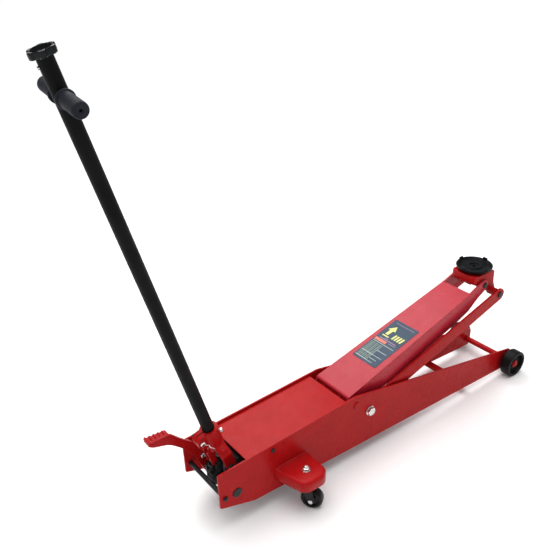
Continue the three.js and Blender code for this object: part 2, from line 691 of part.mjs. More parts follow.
const yokeFront = 17.9;
const yokeRear = -11.7;
const LEG_IN = 39.6;
const LEG_OUT = 49.6;
const archOuter = rounded(
  [[-LEG_OUT, -16], [-LEG_OUT, 41], [-17, 73], [17, 73], [LEG_OUT, 41], [LEG_OUT, -16]],
  [0, 6, 8, 8, 6, 0],
);
const archInner = rounded(
  [[-LEG_IN, -20], [-LEG_IN, 24], [-19, 47], [19, 47], [LEG_IN, 24], [LEG_IN, -20]],
  [0, 6, 8, 8, 6, 0],
);
const legSide = rounded(
  [[yokeRear, 80], [yokeRear, -4], [-5, -13.5], [10, -13.5], [yokeFront, -4], [yokeFront, 80]],
  [0, 8, 8, 8, 8, 0],
);
const clampEar = rounded(
  [[-20, 117], [-36, 117], [-47, 106], [-47, 88], [-36, 80], [-20, 72]],
  [0, 10, 8, 8, 6, 0],
);
const clampBolt = [-36, 101];
const tongue = rounded(
  [[-14, 60], [-34, 52], [-ROLLER_BACK - 9, 0], [-ROLLER_BACK - 4, -6.5], [-ROLLER_BACK + 4, -6.5], [-16, 0]],
  [0, 10, 6, 6, 6, 6],
);
const rollerAt = [-ROLLER_BACK * Math.cos(HANDLE_LEAN), ROLLER_BACK * Math.sin(HANDLE_LEAN)];
const tongueShift = rollerAt[1];
const tongueBody = (yFrom, yTo) => slabY(tongue, yFrom, yTo).translate([0, 0, tongueShift]);
const atSetScrew = (shape) => shape.rotate([0, 0, -110]).translate([0, 0, 92]);
const handleSocket = cut(
  union(
    slabX(archOuter, yokeRear, yokeFront).intersect(slabY(legSide, -60, 60)),
    rodZ(SOCKET_R, 50, SOCKET_TOP, [0, 0], 20),
    slabY(clampEar, -16, 16),
    tongueBody(-13.4, -8.8),
    tongueBody(8.8, 13.4),
  ),
  slabX(archInner, yokeRear - 1, yokeFront + 1).intersect(block(-12.2, 40, -60, 60, -30, 60)),
  block(-60, -8, -1.6, 1.6, 60, 130),
  boreZ(TUBE_R, TUBE_BOTTOM - 0.4, 130, [0, 0], 16),
  rodZ(7.5, 30, 80),
  boreY(6, -60, 60, [0, 0]),
  boreY(4, -20, 20, clampBolt),
  boreY(4, -20, 20, rollerAt),
  atSetScrew(turned([[0, 14], [3.8, 14], [3.8, 40], [0, 40]])),
);
add('handle_socket', RED, alongHandle(handleSocket));

const trunnion = union(
  rodY(6, -57, -29.5, [0, 0]),
  hexY(17, -56.5, -LEG_OUT - GAP, [0, 0]),
);
addPair('trunnion_bolt', BLACK, alongHandle(trunnion));
add('pump_roller', STEEL, alongHandle(turnedY([
  [0, -15], [4, -15], [4, -8.4], [ROLLER_R, -8.4], [ROLLER_R, 8.4], [4, 8.4], [4, 15], [0, 15],
], rollerAt)));
add('clamp_nut', BLACK, alongHandle(cut(hexY(14, 16.4, 25, clampBolt), boreY(4, 10, 30, clampBolt))));
const setScrew = union(
  turned([[0, 19], [3.5, 19], [3.5, 27], [0, 27]]),
  body(prism(hexagon(11), 6)).rotate([-90, 0, 0]).translate([0, 26.3, 0]),
);
add('socket_set_screw', CHROME, alongHandle(atSetScrew(setScrew)));
add('clamp_bolt', CHROME, alongHandle(union(
  rodY(4, -17, 30, clampBolt),
  hexY(13, -22, -16.4, clampBolt),
)));
add('latch_wire', CHROME, alongHandle(wireThrough([
  [-30, -18.2, 94.2], [-27, -20.5, 90], [-22.5, -20.5, 86], [-22, -23, 79], [-17, -27, 74], [-14, -28, 66],
].map((point) => new THREE.Vector3(...point)), 1.1, 16)));

const stub = rodY(9.4, 14, 106, [0, GRIP_HEIGHT]);
const turnGrip = (shape) => shape.rotate([0, 0, -THREE.MathUtils.radToDeg(GRIP_TURN)]);
const handleTube = cut(
  union(
    rodZ(TUBE_R, TUBE_BOTTOM, TUBE_TOP, [0, 0], 20),
    turnGrip(stub),
    turnGrip(mirrored(stub)),
  ),
  rodZ(TUBE_BORE_R, TUBE_BOTTOM - 5, TUBE_TOP + 5, [0, 0], 16),
  rodY(1.6, -30, 0, [0, KNOB_SCREW]).rotate([0, 0, -90]),
);
add('handle_tube', BLACK, alongHandle(handleTube));

const gripSleeve = turnGrip(turned([
  [10, 20.5], [19, 20.5], [19.6, 27], [15.8, 34], [16, 109], [14.6, GRIP_END], [3, GRIP_END],
  [3, 106.4], [10, 106.4], [10, 20.5],
], 16).translate([0, 0, GRIP_HEIGHT]));
add('grip_far', RUBBER, alongHandle(gripSleeve));
add('grip_near', RUBBER, alongHandle(gripSleeve.rotate([0, 0, 180])));

// Lobed knob at the top of the handle, on the end of the long release rod.
const knobLoop = Array.from({ length: 42 }, (unused, k) => {
  const angle = k * 2 * Math.PI / 42;
  const wave = Math.cos(KNOB_LOBES * (angle + THREE.MathUtils.degToRad(109)));
  const radius = KNOB_R - 2.2 + 2.2 * Math.tanh(3 * wave);
  return new THREE.Vector2(radius * Math.cos(angle), radius * Math.sin(angle));
});
add('release_knob', PLASTIC, alongHandle(cut(
  slabZ(knobLoop, KNOB_BOTTOM, KNOB_TOP),
  rodZ(20.5, KNOB_TOP - 9, KNOB_TOP + 5, [0, 0], 24),
  boreZ(5, KNOB_BOTTOM - 5, KNOB_TOP + 5),
)));
add('knob_screw', CHROME, alongHandle(
  turned([[0, -21.4], [3.4, -20.4], [3.4, -16.8], [1.3, -16.8], [1.3, -14], [0, -14]])
    .translate([0, 0, KNOB_SCREW]).rotate([0, 0, -90]),
));

// Universal joint: two forks and a cross between them. The upper fork is pinned on the release rod.
const forkHalf = (turn) => union(
  rodZ(10, 11, 14),
  block(7, 9.4, -3.2, 3.2, -3, 12).rotate([0, 0, turn]),
  block(-9.4, -7, -3.2, 3.2, -3, 12).rotate([0, 0, turn]),
);
add('release_rod', STEEL, alongHandle(union(
  forkHalf(90),
  rodZ(8, 13, 26),
  rodZ(5, 20, KNOB_TOP - 7),
  rodZ(11.5, TUBE_TOP - 30, TUBE_TOP - 24),
)));
// The cross is held in the fork of the valve spindle; its other two arms stand just inside the upper fork.
const crossArm = rodY(2.4, -6.6, 6.6, [0, 0], 8);
const pinnedArm = rodY(2.4, -8, 8, [0, 0], 8);
add('valve_spindle', BLACK, alongHandle(union(
  forkHalf(0).rotate([180, 0, 0]),
  rodZ(6, -VALVE_REACH - 25, -13),
  crossArm,
  pinnedArm.rotate([0, 0, 90]),
  block(-3, 3, -3, 3, -3, 3),
)));

// ---------- foot pedal ----------

const pedalArm = rounded(
  [
    [-113, 280], [-114, 271], [-100, 262], [-56, 249], [-16, 214],
    [17, 166], [34.5, 126], [38, 108], [56, 100],
    [75, 110], [75, 130], [58, 138], [51, 160], [50, 174], [12, 222], [-14, 243], [-48, 278], [-60, 281],
  ],
  [2, 6, 12, 16, 30, 30, 14, 12, 16, 12, 12, 8, 8, 14, 30, 30, 8, 4],
);
const treadBase = rounded(
  [[-115, 279], [-113, 268], [-100, 262], [-56, 250], [-47, 277], [-60, 276]],
  [2, 5, 8, 6, 4, 4],
);
const treadRibs = [-113, -100.5, -88, -75.5, -63].map((x) => slabY(rounded(
  [[x, 270], [x + 7, 270], [x + 6.4, 282.5 - (x + 113) * 0.08], [x + 0.6, 282.5 - (x + 113) * 0.08]],
  [0, 0, 2, 2],
  1,
), 50.6, 80));
const PEDAL_BOLT = [39, 162.8];
add('foot_pedal', RED, cut(
  union(
    slabY(pedalArm, 50, 57),
    slabY(treadBase, 50, 80.5),
    rodY(19, 46, 72, MAIN_SHAFT, 16),
    ...treadRibs,
  ),
  boreY(MAIN_SHAFT_R, 40, 90, MAIN_SHAFT),
  boreY(5, 40, 90, PEDAL_BOLT),
));
add('pedal_bolt', CHROME, cut(
  union(
    rodY(5, 45, 60, PEDAL_BOLT),
    turnedY([[0, 43], [6, 43], [7.4, 44.4], [7.4, 49.7], [0, 49.7]], PEDAL_BOLT),
  ),
  hexY(6.5, 42, 46, PEDAL_BOLT),
));

// ---------- placing ----------

group.traverse((item) => {
  if (item.isMesh) {
    item.geometry.translate(-ORIGIN_X, 0, 0);
  }
});

export default group;
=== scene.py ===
"""Studio scene of a long-chassis hydraulic floor jack, on top of its CAD frame.

Layout numbers are millimetres, with x = 0 at the rear edge of the side plates, as in the CAD source.
at() turns them into the shared frame, in metres.
"""

import json
import math
import random

import bmesh
import bpy
from mathutils import Matrix, Vector


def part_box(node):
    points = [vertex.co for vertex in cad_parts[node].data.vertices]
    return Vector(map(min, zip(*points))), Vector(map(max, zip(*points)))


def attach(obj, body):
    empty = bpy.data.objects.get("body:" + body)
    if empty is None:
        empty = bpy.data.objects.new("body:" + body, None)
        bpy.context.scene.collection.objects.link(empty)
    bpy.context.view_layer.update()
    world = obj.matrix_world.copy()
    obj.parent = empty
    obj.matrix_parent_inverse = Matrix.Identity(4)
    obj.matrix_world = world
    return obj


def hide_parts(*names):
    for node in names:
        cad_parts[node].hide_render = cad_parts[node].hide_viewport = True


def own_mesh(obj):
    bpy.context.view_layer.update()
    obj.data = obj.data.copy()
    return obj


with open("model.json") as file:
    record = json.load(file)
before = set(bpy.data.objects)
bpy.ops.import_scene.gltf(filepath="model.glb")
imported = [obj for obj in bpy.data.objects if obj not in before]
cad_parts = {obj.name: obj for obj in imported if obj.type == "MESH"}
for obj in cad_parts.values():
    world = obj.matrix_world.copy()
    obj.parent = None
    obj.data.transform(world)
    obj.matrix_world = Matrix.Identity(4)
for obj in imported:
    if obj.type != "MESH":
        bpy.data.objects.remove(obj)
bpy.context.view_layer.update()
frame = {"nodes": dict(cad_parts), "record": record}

MM = 0.001
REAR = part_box("side_plate_near")[0].x
RANDOM = random.Random(11)

PLATE_OUT = 90
ARM_PIVOT = (482, 198)
ARM_TIP = (1080.3, 378.6)
LINK_REAR = (538, 153)
LINK_FRONT = (1136.3, 333.6)
LEVER_PIN = (471.1, 126.8)
FRONT_AXLE = (1215.65, 47.3)
MAIN_SHAFT = (55.7, 119.7)
STAY_ROD = (17.9, 121.2)
TIE_ROD = (175.5, 198)
HANDLE_PIVOT = (65.9, 176)
HANDLE_LEAN = 15.32
ROLLER_REACH = 24
CASTER_STUD = (247.5, 143)
CASTER_TURN = 55
CASTER_TRAIL = 18
CASTER_R = 32
CASTER_TOP = 126
RAM_Z = 132
SADDLE_X = 1087
GRIP_HEIGHT = 1045
GRIP_TURN = 6.26
TUBE_TOP = 1122
KNOB_BOTTOM = 1122.4
KNOB_TOP = 1136.4
KNOB_R = 28
KNOB_LOBES = 6
KNOB_DEPTH = 2.7
KNOB_TURN = 109
KNOB_SCREW = 1106
TUBE_R = 16.5
TUBE_BORE_R = 13.5


# ---------- materials ----------

BUMP_HEIGHT = 0.0006
BEVEL_SAMPLES = 6


def shader_nodes(name):
    look = bpy.data.materials.new(name)
    look.use_nodes = True
    tree = look.node_tree
    return look, tree, tree.nodes["Principled BSDF"]


def noise(tree, scale, detail=3.0, roughness=0.55, stretch=None):
    """Noise factor over the object's own coordinates, with features of about 1/scale metres."""
    where = tree.nodes.new("ShaderNodeTexCoord").outputs["Object"]
    if stretch:
        mapping = tree.nodes.new("ShaderNodeMapping")
        mapping.inputs["Scale"].default_value = stretch
        tree.links.new(where, mapping.inputs["Vector"])
        where = mapping.outputs["Vector"]
    texture = tree.nodes.new("ShaderNodeTexNoise")
    texture.inputs["Scale"].default_value = scale
    texture.inputs["Detail"].default_value = detail
    texture.inputs["Roughness"].default_value = roughness
    tree.links.new(where, texture.inputs["Vector"])
    return texture.outputs["Fac"]


def remap(tree, value, from_low, from_high, to_low, to_high):
    node = tree.nodes.new("ShaderNodeMapRange")
    limits = (("From Min", from_low), ("From Max", from_high), ("To Min", to_low), ("To Max", to_high))
    for key, number in limits:
        node.inputs[key].default_value = number
    tree.links.new(value, node.inputs["Value"])
    return node.outputs["Result"]


def multiply(tree, a, b):
    node = tree.nodes.new("ShaderNodeMath")
    node.operation = "MULTIPLY"
    tree.links.new(a, node.inputs[0])
    tree.links.new(b, node.inputs[1])
    return node.outputs["Value"]


def mixed(tree, factor, first, second):
    """Colour between first and second; each is a socket or an (r, g, b)."""
    node = tree.nodes.new("ShaderNodeMix")
    node.data_type = "RGBA"
    tree.links.new(factor, node.inputs[0])
    for socket, colour in ((node.inputs[6], first), (node.inputs[7], second)):
        if isinstance(colour, tuple):
            socket.default_value = (*colour, 1)
        else:
            tree.links.new(colour, socket)
    return node.outputs[2]


def surface(
    name, colour, other, rough, wear_and_highlight, *, edge=0.0008, metallic=0.0, mottle=14,
    grain=420, bump=0.05, wear_and_highlight_share=0.35, stretch=None, specular=0.5,
):
    """Finish with colour drift, uneven roughness, a fine bump, rounded edges, and a little wear with a
    painted highlight along them.

    The colour drifts between colour and other in patches of about 1/mottle metres, and the roughness between
    the two values of rough. Edges are rounded by edge metres and take the lighter edge colour by its share;
    that colour is painted wear and a painted edge highlight at once.
    """
    look, tree, shader = shader_nodes(name)
    links = tree.links
    drift = remap(tree, noise(tree, mottle, 4.0), 0.3, 0.7, 0.0, 1.0)
    base = mixed(tree, drift, colour, other)

    soft = tree.nodes.new("ShaderNodeBevel")
    soft.samples = BEVEL_SAMPLES
    soft.inputs["Radius"].default_value = edge
    flat = tree.nodes.new("ShaderNodeNewGeometry")
    dot = tree.nodes.new("ShaderNodeVectorMath")
    dot.operation = "DOT_PRODUCT"
    links.new(soft.outputs["Normal"], dot.inputs[0])
    links.new(flat.outputs["Normal"], dot.inputs[1])
    # Lighter colour along the edges: partly wear, partly a painted highlight.
    on_edge = remap(tree, dot.outputs["Value"], 0.8, 0.99, wear_and_highlight_share, 0.0)
    patchy = remap(tree, noise(tree, 90, 4.0), 0.42, 0.62, 0.15, 1.0)
    links.new(mixed(tree, multiply(tree, on_edge, patchy), base, wear_and_highlight), shader.inputs["Base Color"])

    smear = noise(tree, 38, 5.0, 0.62, stretch)
    links.new(remap(tree, smear, 0.3, 0.72, rough[0], rough[1]), shader.inputs["Roughness"])

    relief = tree.nodes.new("ShaderNodeBump")
    relief.inputs["Strength"].default_value = bump
    relief.inputs["Distance"].default_value = BUMP_HEIGHT
    links.new(noise(tree, grain, 2.0, 0.5, stretch), relief.inputs["Height"])
    links.new(soft.outputs["Normal"], relief.inputs["Normal"])
    links.new(relief.outputs["Normal"], shader.inputs["Normal"])

    shader.inputs["Metallic"].default_value = metallic
    shader.inputs["Specular IOR Level"].default_value = specular
    return look


# The edge colours here are lighter than the bodies, and paint in edge highlights as well as wear.
FINISHES = {
    "red_paint": dict(
        colour=(0.41, 0.007, 0.008), other=(0.36, 0.005, 0.006), rough=(0.22, 0.38),
        wear_and_highlight=(0.66, 0.13, 0.13), edge=0.0016, specular=0.09, wear_and_highlight_share=0.6, grain=130, bump=0.03,
    ),
    # The arm's red is tinted pinker than red_paint, which paints in part of the sheen on the arm's top.
    "arm_paint": dict(
        colour=(0.45, 0.016, 0.032), other=(0.40, 0.013, 0.027), rough=(0.24, 0.36),
        wear_and_highlight=(0.66, 0.16, 0.18), edge=0.0016, specular=0.2, wear_and_highlight_share=0.5, grain=130, bump=0.03,
    ),
    "wheel_plastic": dict(
        colour=(0.003, 0.003, 0.0035), other=(0.006, 0.006, 0.0065), rough=(0.38, 0.58),
        wear_and_highlight=(0.05, 0.05, 0.055), grain=900, bump=0.12, edge=0.0008, specular=0.13,
    ),
    "caster_plastic": dict(
        colour=(0.004, 0.004, 0.0045), other=(0.008, 0.008, 0.009), rough=(0.22, 0.38),
        wear_and_highlight=(0.04, 0.04, 0.045), grain=700, bump=0.06, edge=0.0008, specular=0.2,
    ),
    "black_steel": dict(
        colour=(0.008, 0.008, 0.009), other=(0.016, 0.016, 0.018), rough=(0.30, 0.48),
        wear_and_highlight=(0.14, 0.14, 0.15), grain=600, bump=0.08, edge=0.0006, wear_and_highlight_share=0.6, specular=0.25,
    ),
    "zinc_plate": dict(
        colour=(0.78, 0.78, 0.76), other=(0.64, 0.65, 0.64), rough=(0.16, 0.34),
        wear_and_highlight=(0.9, 0.9, 0.9), grain=500, bump=0.05, metallic=1.0, edge=0.0003, mottle=90, wear_and_highlight_share=0.3,
    ),
    "chrome_rod": dict(
        colour=(0.80, 0.80, 0.81), other=(0.70, 0.71, 0.73), rough=(0.06, 0.16),
        wear_and_highlight=(0.9, 0.9, 0.9), grain=300, bump=0.02, metallic=1.0, edge=0.0005, stretch=(1, 14, 14),
    ),
    "bright_steel": dict(
        colour=(0.50, 0.50, 0.52), other=(0.38, 0.38, 0.40), rough=(0.26, 0.44),
        wear_and_highlight=(0.7, 0.7, 0.7), grain=260, bump=0.08, metallic=1.0, edge=0.0006, stretch=(14, 1, 1),
    ),
    "cast_body": dict(
        colour=(0.008, 0.008, 0.010), other=(0.016, 0.016, 0.019), rough=(0.36, 0.56),
        wear_and_highlight=(0.09, 0.09, 0.09), grain=340, bump=0.35, edge=0.0014, wear_and_highlight_share=0.5, specular=0.3,
    ),
    "grip_rubber": dict(
        colour=(0.007, 0.008, 0.014), other=(0.012, 0.014, 0.022), rough=(0.50, 0.70),
        wear_and_highlight=(0.06, 0.065, 0.08), grain=1100, bump=0.2, edge=0.0006, specular=0.2,
    ),
    "knob_plastic": dict(
        colour=(0.003, 0.004, 0.005), other=(0.006, 0.007, 0.009), rough=(0.22, 0.38),
        wear_and_highlight=(0.16, 0.19, 0.23), grain=900, bump=0.12, edge=0.0009, wear_and_highlight_share=0.9, specular=0.18,
    ),
    "handle_paint": dict(
        colour=(0.003, 0.003, 0.0035), other=(0.006, 0.006, 0.0065), rough=(0.40, 0.58),
        wear_and_highlight=(0.05, 0.05, 0.05), grain=800, bump=0.14, edge=0.0006, specular=0.08,
    ),
    "saddle_iron": dict(
        colour=(0.003, 0.0035, 0.004), other=(0.007, 0.008, 0.010), rough=(0.24, 0.42),
        wear_and_highlight=(0.14, 0.15, 0.16), grain=420, bump=0.3, edge=0.0014, wear_and_highlight_share=1.0, specular=0.07,
    ),
    "label_film": dict(
        colour=(0.052, 0.078, 0.112), other=(0.075, 0.105, 0.145), rough=(0.30, 0.42),
        wear_and_highlight=(0.2, 0.25, 0.3), grain=700, bump=0.02, edge=0.0003, specular=0.06,
    ),
}
INK_COLOURS = {
    "ink_yellow": (0.80, 0.78, 0.28),
    "ink_coral": (0.82, 0.24, 0.17),
    "ink_pale": (0.46, 0.52, 0.50),
    "ink_olive": (0.30, 0.37, 0.30),
    "ink_mauve": (0.36, 0.25, 0.36),
}
INK_DRIFT = 0.86
LOOKS = {name: surface(name, **finish) for name, finish in FINISHES.items()}
INKS = {
    name: surface(
        name, colour, tuple(INK_DRIFT * c for c in colour), (0.34, 0.46), colour,
        grain=700, bump=0.02, edge=0.0001, specular=0.06,
    )
    for name, colour in INK_COLOURS.items()
}

SLOT_OF = {part["node"]: part["material_slot"] for part in frame["record"]["subparts"]}
BODY_OF = {
    node: body for body, nodes in frame["record"]["behaviour"]["bodies"].items() for node in nodes
}


# ---------- mesh helpers ----------

SHORTEST_ROUND = 0.02
MOST_OF_A_SIDE = 0.45
THREAD_DEPTH = 0.55
CHAMFER_ACROSS = 0.95
CHAMFER_SLOPE = 0.55


def at(x, y, z):
    """Layout point in millimetres, as a point of the shared frame in metres."""
    return Vector((REAR + x * MM, y * MM, z * MM))


def placed(x, y, z, turn=Matrix.Identity(4)):
    """Matrix from millimetres about a layout point to the shared frame."""
    return Matrix.Translation(at(x, y, z)) @ turn @ Matrix.Scale(MM, 4)


def turned(degrees, axis="Z"):
    """Rotation about an axis through the origin."""
    return Matrix.Rotation(math.radians(degrees), 4, axis)


UPRIGHT = placed(0, 0, 0)
HANDLE = placed(HANDLE_PIVOT[0], 0, HANDLE_PIVOT[1], turned(-HANDLE_LEAN, "Y"))
CASTER = placed(CASTER_STUD[0], -CASTER_STUD[1], 0, turned(-CASTER_TURN))
TO_Y = turned(-90, "X")
TO_X = turned(90, "Y")
MIRROR = Matrix.Scale(-1, 4, (0, 1, 0))


def about_y(centre):
    """Frame whose z runs along +Y through the (x, z) centre."""
    return placed(centre[0], 0, centre[1], TO_Y)


def piece(name, shape, slot, place, stands_for=(), body=None, look=None, sharp=32):
    """One mesh from a bmesh in millimetres, riding on the body of the CAD nodes it stands for."""
    shape.transform(place)
    bmesh.ops.recalc_face_normals(shape, faces=shape.faces)
    mesh = bpy.data.meshes.new(name)
    shape.to_mesh(mesh)
    shape.free()
    mesh.shade_smooth()
    mesh.set_sharp_from_angle(angle=math.radians(sharp))
    mesh.materials.append(look or LOOKS[slot])
    made = bpy.data.objects.new(name, mesh)
    bpy.context.collection.objects.link(made)
    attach(made, body or BODY_OF[stands_for[0]])
    if stands_for:
        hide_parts(*stands_for)
    return made


def pair(name, build, slot, place, stands_for="", body="", sharp=32):
    """The same piece on both sides; build() draws the near one."""
    for side, across in (("near", Matrix.Identity(4)), ("far", MIRROR)):
        nodes = (f"{stands_for}_{side}",) if stands_for else ()
        piece(f"{name}_{side}", build(), slot, across @ place, nodes, body or None, sharp=sharp)


def soften(profile, radius, steps=4, closed=False):
    """The line with each corner rounded, as far as its neighbours leave room."""
    points = [Vector(p) for p in profile]
    count = len(points)
    line = []
    for i, corner in enumerate(points):
        if not closed and i in (0, count - 1):
            line.append(corner)
            continue
        before = points[i - 1] - corner
        after = points[(i + 1) % count] - corner
        size = radius[i] if isinstance(radius, (list, tuple)) else radius
        reach = min(size, before.length * MOST_OF_A_SIDE, after.length * MOST_OF_A_SIDE)
        if reach < SHORTEST_ROUND:
            line.append(corner)
            continue
        start, end = corner + before.normalized() * reach, corner + after.normalized() * reach
        for k in range(steps + 1):
            t = k / steps
            line.append((1 - t) ** 2 * start + 2 * t * (1 - t) * corner + t * t * end)
    return line


def absorb(shape, other):
    """The shape with the other one added to it; the other is freed."""
    spare = bpy.data.meshes.new("spare")
    other.to_mesh(spare)
    other.free()
    shape.from_mesh(spare)
    bpy.data.meshes.remove(spare)
    return shape


def bridge(shape, first, second):
    """Faces between two rings of vertices, either of which may be a single pole."""
    count = max(len(first), len(second))
    for k in range(count):
        following = (k + 1) % count
        corners = []
        for ring, order in ((first, (k, following)), (second, (following, k))):
            picked = ring[:1] if len(ring) == 1 else [ring[order[0]], ring[order[1]]]
            corners.extend(picked)
        shape.faces.new(corners)


def loft(rings, shape=None, closed=False):
    """Skin over rings of points; a ring of one point is a pole."""
    shape = shape or bmesh.new()
    made = [[shape.verts.new(p) for p in ring] for ring in rings]
    for first, second in zip(made, made[1:] + made[:1] if closed else made[1:]):
        bridge(shape, first, second)
    return shape


def lathe(profile, soft=0.8, segments=64, shape=None, closed=False, centre=(0, 0)):
    """Turned body about z from (radius, z) points."""
    rings = []
    for radius, z in soften(profile, soft, closed=closed):
        if radius < 1e-6:
            rings.append([(*centre, z)])
            continue
        rings.append([
            (centre[0] + radius * math.cos(a), centre[1] + radius * math.sin(a), z)
            for a in (2 * math.pi * k / segments for k in range(segments))
        ])
    return loft(rings, shape, closed)


def threads(radius, low, high, pitch=1.5):
    """Profile points of a thread between two heights."""
    count = max(1, int(round(abs(high - low) / pitch)))
    step = (high - low) / count
    points = []
    for k in range(count):
        points.append((radius, low + k * step))
        points.append((radius - THREAD_DEPTH, low + (k + 0.5) * step))
    return points + [(radius, high)]


def nut(across, low, high, shape=None, centre=(0, 0), turn=0.0, segments=48):
    """Hexagonal head or nut along z, with both faces chamfered round."""
    radius = across / 2 * CHAMFER_ACROSS
    rings = [[(*centre, low)]]
    circle, hexagon = [], []
    for k in range(segments):
        angle = 2 * math.pi * k / segments
        off = (angle + math.pi / 6) % (math.pi / 3) - math.pi / 6
        reach = across / 2 / math.cos(math.pi / 6 - abs(off))
        circle.append((math.cos(angle + turn), math.sin(angle + turn), radius, 0))
        drop = (reach - radius) * CHAMFER_SLOPE
        hexagon.append((math.cos(angle + turn), math.sin(angle + turn), reach, drop))
    for ring, base, sign in ((circle, low, 1), (hexagon, low, 1), (hexagon, high, -1), (circle, high, -1)):
        rings.append([(centre[0] + c * r, centre[1] + s * r, base + sign * d) for c, s, r, d in ring])
    rings.append([(*centre, high)])
    return loft(rings, shape)


def rounded(corners, radii, steps=7):
    """Closed loop with its corners rounded, by one radius or by one for each."""
    return soften(corners, radii, steps, closed=True)


def capsule(a, ra, b, rb, steps=18):
    """Outline of two discs joined by straight sides."""
    a, b = Vector(a), Vector(b)
    heading = math.atan2(b.y - a.y, b.x - a.x)
    spread = math.acos((ra - rb) / (b - a).length)
    loop = []
    for k in range(steps + 1):
        angle = heading + spread + (2 * math.pi - 2 * spread) * k / steps
        loop.append(a + ra * Vector((math.cos(angle), math.sin(angle))))
    for k in range(steps + 1):
        angle = heading - spread + 2 * spread * k / steps
        loop.append(b + rb * Vector((math.cos(angle), math.sin(angle))))
    return loop


def plate(loop, low, high, soft=0.8, shape=None, way="z"):
    """Prism of a loop along z (way z), or of an (x, z) loop along y (way y), with its edges rounded."""
    shape = shape or bmesh.new()
    bottom, top = (
        [shape.verts.new((p[0], level, p[1]) if way == "y" else (p[0], p[1], level)) for p in loop]
        for level in (low, high)
    )
    shape.faces.new(bottom)
    shape.faces.new(top)
    count = len(loop)
    for k in range(count):
        shape.faces.new((bottom[k], bottom[(k + 1) % count], top[(k + 1) % count], top[k]))
    rims = [shape.edges.get((ring[k], ring[(k + 1) % count])) for ring in (bottom, top) for k in range(count)]
    bmesh.ops.bevel(
        shape, geom=rims, offset=soft, segments=3, profile=0.5, affect="EDGES", clamp_overlap=True,
    )
    return shape


def wire(points, radius, sides=12):
    """Round wire through the points, with closed ends."""
    line = [Vector(p) for p in points]
    side = None
    rings = []
    for i, centre in enumerate(line):
        ahead = (line[min(i + 1, len(line) - 1)] - line[max(i - 1, 0)]).normalized()
        side = ahead.orthogonal() if side is None else side - side.dot(ahead) * ahead
        side.normalize()
        other = ahead.cross(side)
        rings.append([
            centre + radius * (math.cos(a) * side + math.sin(a) * other)
            for a in (2 * math.pi * k / sides for k in range(sides))
        ])
    return loft([[line[0]]] + rings + [[line[-1]]])


def smooth_line(points, steps=8):
    """Catmull-Rom line through the points."""
    line = [Vector(p) for p in points]
    ends = [2 * line[0] - line[1], *line, 2 * line[-1] - line[-2]]
    out = []
    for a, b, c, d in zip(ends, ends[1:], ends[2:], ends[3:]):
        for k in range(steps):
            t = k / steps
            out.append(0.5 * (
                2 * b + (c - a) * t + (2 * a - 5 * b + 4 * c - d) * t * t + (3 * b - a - 3 * c + d) * t ** 3
            ))
    return out + [line[-1]]


def weld(start, end, radius=2.3, pitch=2.5):
    """Bead of overlapping ripples from start to end."""
    shape = bmesh.new()
    start, end = Vector(start), Vector(end)
    count = int((end - start).length / pitch)
    for k in range(count + 1):
        centre = start.lerp(end, k / count)
        size = radius * RANDOM.uniform(0.82, 1.12)
        lean = Matrix.Rotation(RANDOM.uniform(-0.3, 0.3), 4, "Z")
        off = Vector((0, RANDOM.uniform(-0.3, 0.3), RANDOM.uniform(-0.3, 0.3)))
        bead = Matrix.Translation(centre + off)
        bmesh.ops.create_icosphere(
            shape, subdivisions=2, radius=size, matrix=bead @ lean @ Matrix.Diagonal((0.85, 1, 1, 1)),
        )
    return shape


# ---------- CAD nodes that keep their shape ----------

MERGE_DISTANCE = 1e-6
CREASE_DEGREES = 33
for node, made in frame["nodes"].items():
    made.data.materials.clear()
    made.data.materials.append(LOOKS[SLOT_OF[node]])
    if "custom_normal" in made.data.attributes:
        made.data.attributes.remove(made.data.attributes["custom_normal"])
    made.data.shade_smooth()
    merge = made.modifiers.new("merge", "WELD")
    merge.merge_threshold = MERGE_DISTANCE
    crease = made.modifiers.new("crease", "EDGE_SPLIT")
    crease.split_angle = math.radians(CREASE_DEGREES)

# ---------- frame: rods, shafts and bolts ----------

piece("cover_tie_rod_fine", lathe([
    (0, -95), (4, -95), (7, -92.4), (7, -90.3), (4, -90.3),
    (4, 90.3), (7, 90.3), (7, 92.4), (4, 95), (0, 95),
], 1.2), "black_steel", about_y(TIE_ROD), ["cover_tie_rod"])

stay = lathe([
    (0, -96.6), (3, -96.6), (4, -95.6), (4, -84.6), (7, -84.6),
    (7, 84.6), (4, 84.6), (4, 95.6), (3, 96.6), (0, 96.6),
], 0.5)
for low, high in ((-94.4, -90.3), (90.3, 94.4)):
    nut(13, low, high, stay, turn=0.3)
piece("rear_stay_rod_fine", stay, "black_steel", about_y(STAY_ROD), ["rear_stay_rod"])

piece("main_shaft_fine", lathe([
    (0, -91.4), (3, -91.4), (3.6, -92), (14, -92), (14, -80), (12, -80),
    (12, 80), (14, 80), (14, 92), (3.6, 92), (3, 91.4), (0, 91.4),
], 0.8), "black_steel", about_y(MAIN_SHAFT), ["main_shaft"])

piece("arm_pivot_shaft_fine", lathe([
    (0, -93), (11, -93), (11, 93), (0, 93),
], 1.8), "red_paint", about_y(ARM_PIVOT), ["arm_pivot_shaft"])

axle_half = [
    (0, -134), (8, -134), (8, -130.5), (13, -130.5), (13, -127.3), (8, -127.3),
    (8, -100.7), (14, -100.7), (14, -90.3), (8, -90.3), (8, -84.7), (10.2, -84.7),
]
piece("front_axle_fine", lathe(
    axle_half + [(r, -y) for r, y in reversed(axle_half)], 1.0,
), "red_paint", about_y(FRONT_AXLE), ["front_axle"])


def link_bolt():
    shape = lathe([
        (0, -103), (6.6, -103), *threads(8, -102, -93), (8, -92), (15.5, -92), (15.5, -90.3), (8, -90.3),
        (8, -84.7), (14, -84.7), (14, -80.3), (8, -80.3), (8, -75.8), (13, -75.8), (13, -73.2), (0, -73.2),
    ], 0.3)
    return nut(24, -101, -91.9, shape, turn=0.2)


